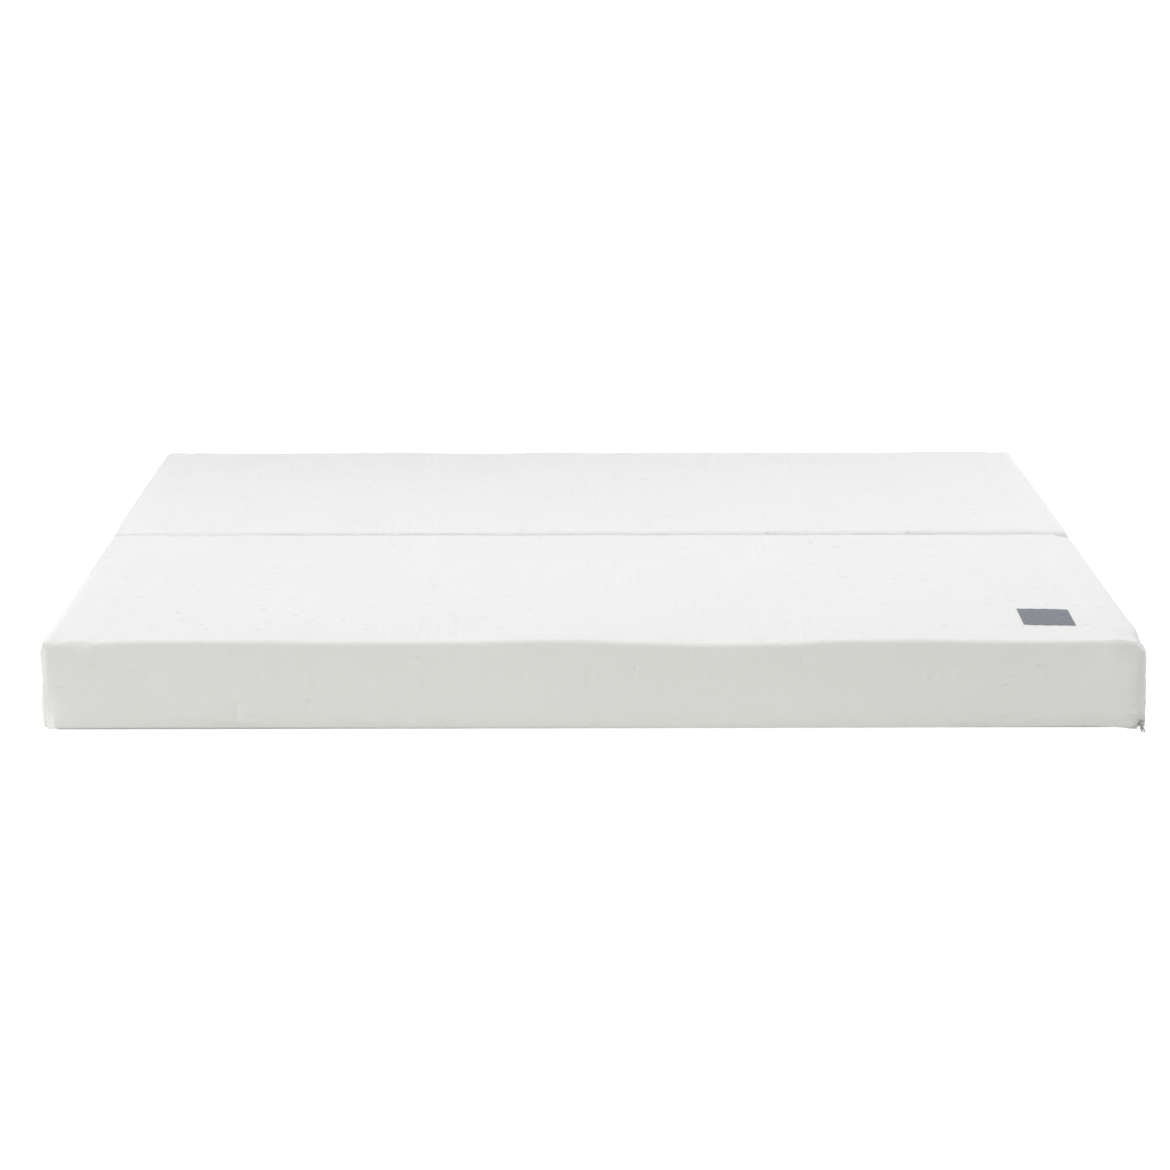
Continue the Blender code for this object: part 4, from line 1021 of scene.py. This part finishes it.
def dressHalf(word, style):
    body = f"{word}_half"
    place = turned if word == "rear" else (lambda points: points)
    foamName, topName = f"{word}FoamCore", f"{word}CoverTop"
    leftEnd, rightEnd = ("left", "right") if word == "front" else ("right", "left")

    points, faces = foamCore(style)
    foam = meshFrom(foamName, place(points), faces, material=foamCream)
    settle(foam, body, [f"{word}_foam_core"])

    points, uv, x, across = dressedTop(style, form["clothStep"])
    top = gridPiece(topName, place(points), uv, form["wall"], knit)
    flat = (float(x[-1] - x[0]), float(across[-1]))
    layCloth(top, body, [f"{word}_cover_top"])
    panels = [(f"{rightEnd}_end", endPanel(1, style), "end", knit, "knit_white"),
              (f"{leftEnd}_end", endPanel(-1, style), "end", knit, "knit_white"),
              ("fold_side", foldSidePanel(style), "fold_side", knit, "knit_white"),
              ("base", basePanel(style), "base", baseCloth, "base_cloth")]
    for name, (panel, panelUv), size, material, slotName in panels:
        pieceName = f"{word}Cover" + name.title().replace("_", "")
        made = gridPiece(pieceName, place(panel), panelUv, form["wall"], material)
        layCloth(made, body, [f"{word}_cover_{name}"])
    print(word, "covers and foam made")

    tapeY, bend, low = zipLook["tapeY"], zipLook["tapeBend"], zipLook["tapeFloor"]
    lowerEdge, upperEdge = zipLook["tapeSplit"]
    upper = [(tapeY, z) for z in np.linspace(upperEdge, zipLook["tapeTop"], 8)]
    made, flat = tapePiece(word, "ZipUpperTape", upper, place)
    layCloth(made, body, [f"{word}_zip_upper_tape"])
    turn = np.linspace(0, math.pi / 2, 5)
    lower = [(y, low) for y in np.linspace(zipLook["tapeUnder"], tapeY + bend, 6)]
    lower += [(tapeY + bend - bend * math.sin(t), low + bend - bend * math.cos(t)) for t in turn[1:]]
    lower += [(tapeY, z) for z in (0.0022, 0.0040, lowerEdge)]
    made, flat = tapePiece(word, "ZipLowerTape", lower, place)
    layCloth(made, body, [f"{word}_zip_lower_tape"])
    for name, z in zip(("lower", "upper"), zipLook["coilZ"]):
        coil = coilPiece(word, f"Zip{name.title()}Coil", z, place)
        settle(coil, body, [f"{word}_zip_{name}_coil"])
    made, flat = lowerHem(word, style, place)
    layCloth(made, body, [])

    # a row of stitches just above the flap's edge, between the zip's ends
    row = int(np.abs(across - zipLook["stitchUp"]).argmin())
    start, end = zipLook["stitchRun"]
    seen = (x > start) & (x < end)
    line = place(points[row][seen])
    outward = place(gridNormals(points)[row][seen])
    made = stitchRow(f"{word}FlapStitches", line, outward, *zipLook["stitch"], whiteThread)
    settle(made, body, [])
    print(word, "zip made")
    return points, x, across


frontTop = dressHalf("front", frontStyle)
dressHalf("rear", rearStyle)


# Label, with a stitched border and no words

labelLow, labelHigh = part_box("front_label")
labelLook = {
    "width": 0.0905, "depth": 0.0842, "turn": -1.6, "wall": 0.0005, "lift": 0.0007, "puff": 0.0003,
    "back": 0.0012, "inset": 0.0035, "stitch": (0.0031, 0.0023, 0.00026), "bow": 0.0012,
    "cells": (58, 60),  # along its depth and its width
}


def topHeight(x, y):
    # the front cover's height at places on its top, read from its grid
    points, columns, _ = frontTop
    middle = points[:, len(columns) // 2]
    onTop = (middle[:, 2] > 0.15) & (np.abs(middle[:, 1] - centreY) < 0.30)
    return bilinear(points[onTop][..., 2], middle[onTop, 1], columns, y, x)


def makeLabel():
    look = labelLook
    deepCells, wideCells = look["cells"]
    a = np.linspace(-0.5, 0.5, wideCells + 1)[None, :]
    b = np.linspace(-0.5, 0.5, deepCells + 1)[:, None]
    across, deep = a * look["width"] + 0 * b, b * look["depth"] + 0 * a
    deep = deep - look["bow"] * (1 - (2 * a) ** 2) * (b < 0) * (-2 * b) ** 3  # its front edge bows
    turn = math.radians(look["turn"])
    middle = (labelLow + labelHigh) / 2
    middle.y += look["back"]
    x = middle.x + across * math.cos(turn) - deep * math.sin(turn)
    y = middle.y + across * math.sin(turn) + deep * math.cos(turn)
    edge = np.minimum(look["width"] / 2 - np.abs(across), look["depth"] / 2 - np.abs(b * look["depth"]))
    sewn = bell(edge, look["inset"], 0.0014)
    puff = look["puff"] * smooth(0.002, 0.02, edge) - 0.00015 * sewn
    z = topHeight(x, y) + look["lift"] + puff + 0.00008 * clothNoise(across, deep, 0.03, 90)
    points = np.stack([x, y, z], axis=-1)
    made = gridPiece("frontLabel", points, np.stack([across, deep], axis=-1), look["wall"], labelGrey)
    layCloth(made, "front_half", ["front_label"])
    # the border runs round the patch on its grid lines
    i, j = round(look["inset"] / look["depth"] * deepCells), round(look["inset"] / look["width"] * wideCells)
    sides = [points[i, j:-j], points[i:-i, -j - 1], points[-i - 1, j:-j][::-1], points[i:-i, j][::-1]]
    loop = np.concatenate(sides)
    keep = np.concatenate([[True], np.linalg.norm(np.diff(loop, axis=0), axis=1) > 1e-6])
    loop = loop[keep]
    up = np.zeros_like(loop)
    up[:, 2] = 1
    made = stitchRow("frontLabelStitches", loop, up, *look["stitch"], greyThread)
    settle(made, "front_half", [])


makeLabel()


# The strip that joins the two halves in the fold

stripLow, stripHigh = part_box("fold_strip")
stripLook = {"seamZ": 0.1529, "places": (-0.95, -0.78, -0.45, 0.95), "rise": (0.0030, 0.0028, 0.0006, 0.0),
             "sag": 0.0010, "wall": 0.0006, "width": 0.0120, "reach": 0.0048}


def makeStrip():
    # a shallow trough: z = seam - sag (1 - (y / half)^2), carried along X, higher at the left
    look = stripLook
    x = spaced(stripLow.x, stripHigh.x, 0.010, 0.01, 0.01, 0.001)[None, :]
    y = np.linspace(stripLow.y, stripHigh.y, 13)[:, None]
    half = stripHigh.y
    u, v = np.broadcast_arrays(x, y)
    seam = look["seamZ"] + eased(u, look["places"], look["rise"])
    z = seam - look["sag"] * (1 - (v / half) ** 2) + 0.0001 * clothNoise(u, v, 0.03, 77)
    points = np.stack([u, v, z], axis=-1)
    made = gridPiece("foldStrip", points, np.stack([u, v + half], axis=-1), look["wall"], tapeWhite)
    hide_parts("fold_strip")
    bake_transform(made)


makeStrip()
print("label and fold strip made")

for name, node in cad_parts.items():
    if "slider" in name or "pull" in name or "stop" in name:
        node.data.materials.clear()
        node.data.materials.append(nickel)


# Camera, floor and lights

cameraLook = {"place": (-0.0365, -4.3195, 1.4433), "tilt": 17.874, "yaw": 0.320, "roll": 0.014,  # degrees
              "lens": 70.0, "sensor": 36.0, "clip": (0.1, 60.0)}


def setCamera():
    look = cameraLook
    data = bpy.data.cameras.new("camera")
    data.lens = look["lens"]
    data.sensor_width = look["sensor"]
    data.clip_start, data.clip_end = look["clip"]
    made = bpy.data.objects.new("camera", data)
    made.location = look["place"]
    made.rotation_euler = (math.radians(90 - look["tilt"]), math.radians(look["roll"]), math.radians(-look["yaw"]))
    scene.collection.objects.link(made)
    scene.camera = made


studio = {
    "world": 0.15,
    "lamps": [
        {"name": "overhead", "place": (0.0, -0.3, 3.2), "aim": (0.0, -0.25, 0.1), "size": (4.5, 1.8), "watts": 86.0},
        {"name": "left", "place": (-3.6, 0.3, 1.1), "aim": (-0.9, -0.2, 0.1), "size": (1.6, 1.3), "watts": 43.5},
        {"name": "right", "place": (3.6, 1.6, 1.3), "aim": (0.9, 0.2, 0.1), "size": (1.6, 1.3), "watts": 60.0},
        {"name": "lowFront", "place": (-0.05, -4.4, 0.36), "aim": (-0.05, -0.5, 0.08), "size": (2.6, 0.55),
         "watts": 37.8, "colour": (1.0, 1.0, 0.915)},
        {"name": "lowLeft", "place": (-4.7, -1.6, 0.4), "aim": (-0.95, -0.8, 0.08), "size": (0.6, 0.4),
         "watts": 0.8, "spread": 24},
    ],
    "floorColour": (0.86, 0.86, 0.835),
    "floorGlow": 0.90,
    "floorDrop": 0.0004,
    "floorHalf": 20.0,
}


def addLamp(look):
    data = bpy.data.lights.new(look["name"], "AREA")
    data.shape = "RECTANGLE"
    data.size, data.size_y = look["size"]
    data.energy = look["watts"]
    data.spread = math.radians(look.get("spread", 180))
    data.color = look.get("colour", (1, 1, 1))
    made = bpy.data.objects.new(look["name"], data)
    made.location = look["place"]
    made.rotation_euler = (Vector(look["aim"]) - Vector(look["place"])).to_track_quat("-Z", "Y").to_euler()
    scene.collection.objects.link(made)


def setWorld():
    # a dim even dome for light, seen as white by the camera and in the metal
    world = bpy.data.worlds.new("studio")
    scene.world = world
    world.use_nodes = True
    nodes, links = world.node_tree.nodes, world.node_tree.links
    nodes.clear()
    path = nodes.new("ShaderNodeLightPath")
    seen = path.outputs["Is Camera Ray"]
    for kind in ("Is Glossy Ray", "Is Transmission Ray"):
        larger = nodes.new("ShaderNodeMath")
        larger.operation = "MAXIMUM"
        links.new(seen, larger.inputs[0])
        links.new(path.outputs[kind], larger.inputs[1])
        seen = larger.outputs[0]
    either, output = nodes.new("ShaderNodeMixShader"), nodes.new("ShaderNodeOutputWorld")
    links.new(seen, either.inputs[0])
    for slot, strength in ((1, studio["world"]), (2, 1.0)):
        shade = nodes.new("ShaderNodeBackground")
        shade.inputs["Strength"].default_value = strength
        shade.inputs["Color"].default_value = (1, 1, 1, 1)
        links.new(shade.outputs[0], either.inputs[slot])
    links.new(either.outputs[0], output.inputs["Surface"])


def setFloor():
    # a wide pale floor, brighter to the camera than its light, so it reads as white and keeps the shadow
    corners = np.array([(-1, -1, 0), (1, -1, 0), (1, 1, 0), (-1, 1, 0)]) * studio["floorHalf"]
    corners = corners - (0, 0, studio["floorDrop"])
    floor = meshFrom("floor", corners, [(0, 1, 2, 3)])
    made = Finish("floor", {"Base Color": (*studio["floorColour"], 1), "Roughness": 0.9, "Specular IOR Level": 0.0})
    path = made.add("ShaderNodeLightPath").socket.node
    sees = Wire(made, path.outputs["Is Camera Ray"])
    for kind in ("Is Glossy Ray", "Is Transmission Ray"):
        sees = made.maths("MAXIMUM", sees, Wire(made, path.outputs[kind]))
    glow = made.add("ShaderNodeEmission", None, {"Color": (1, 1, 1, 1), "Strength": sees * studio["floorGlow"]})
    both = made.add("ShaderNodeAddShader", None, {0: Wire(made, made.shader.outputs[0]), 1: glow})
    made.tree.links.new(both.socket, made.tree.nodes["Material Output"].inputs["Surface"])
    floor.data.materials.append(made.material)


setCamera()
setWorld()
for lamp in studio["lamps"]:
    addLamp(lamp)
setFloor()
scene.view_settings.view_transform = "Standard"
print("camera, lights and floor set")
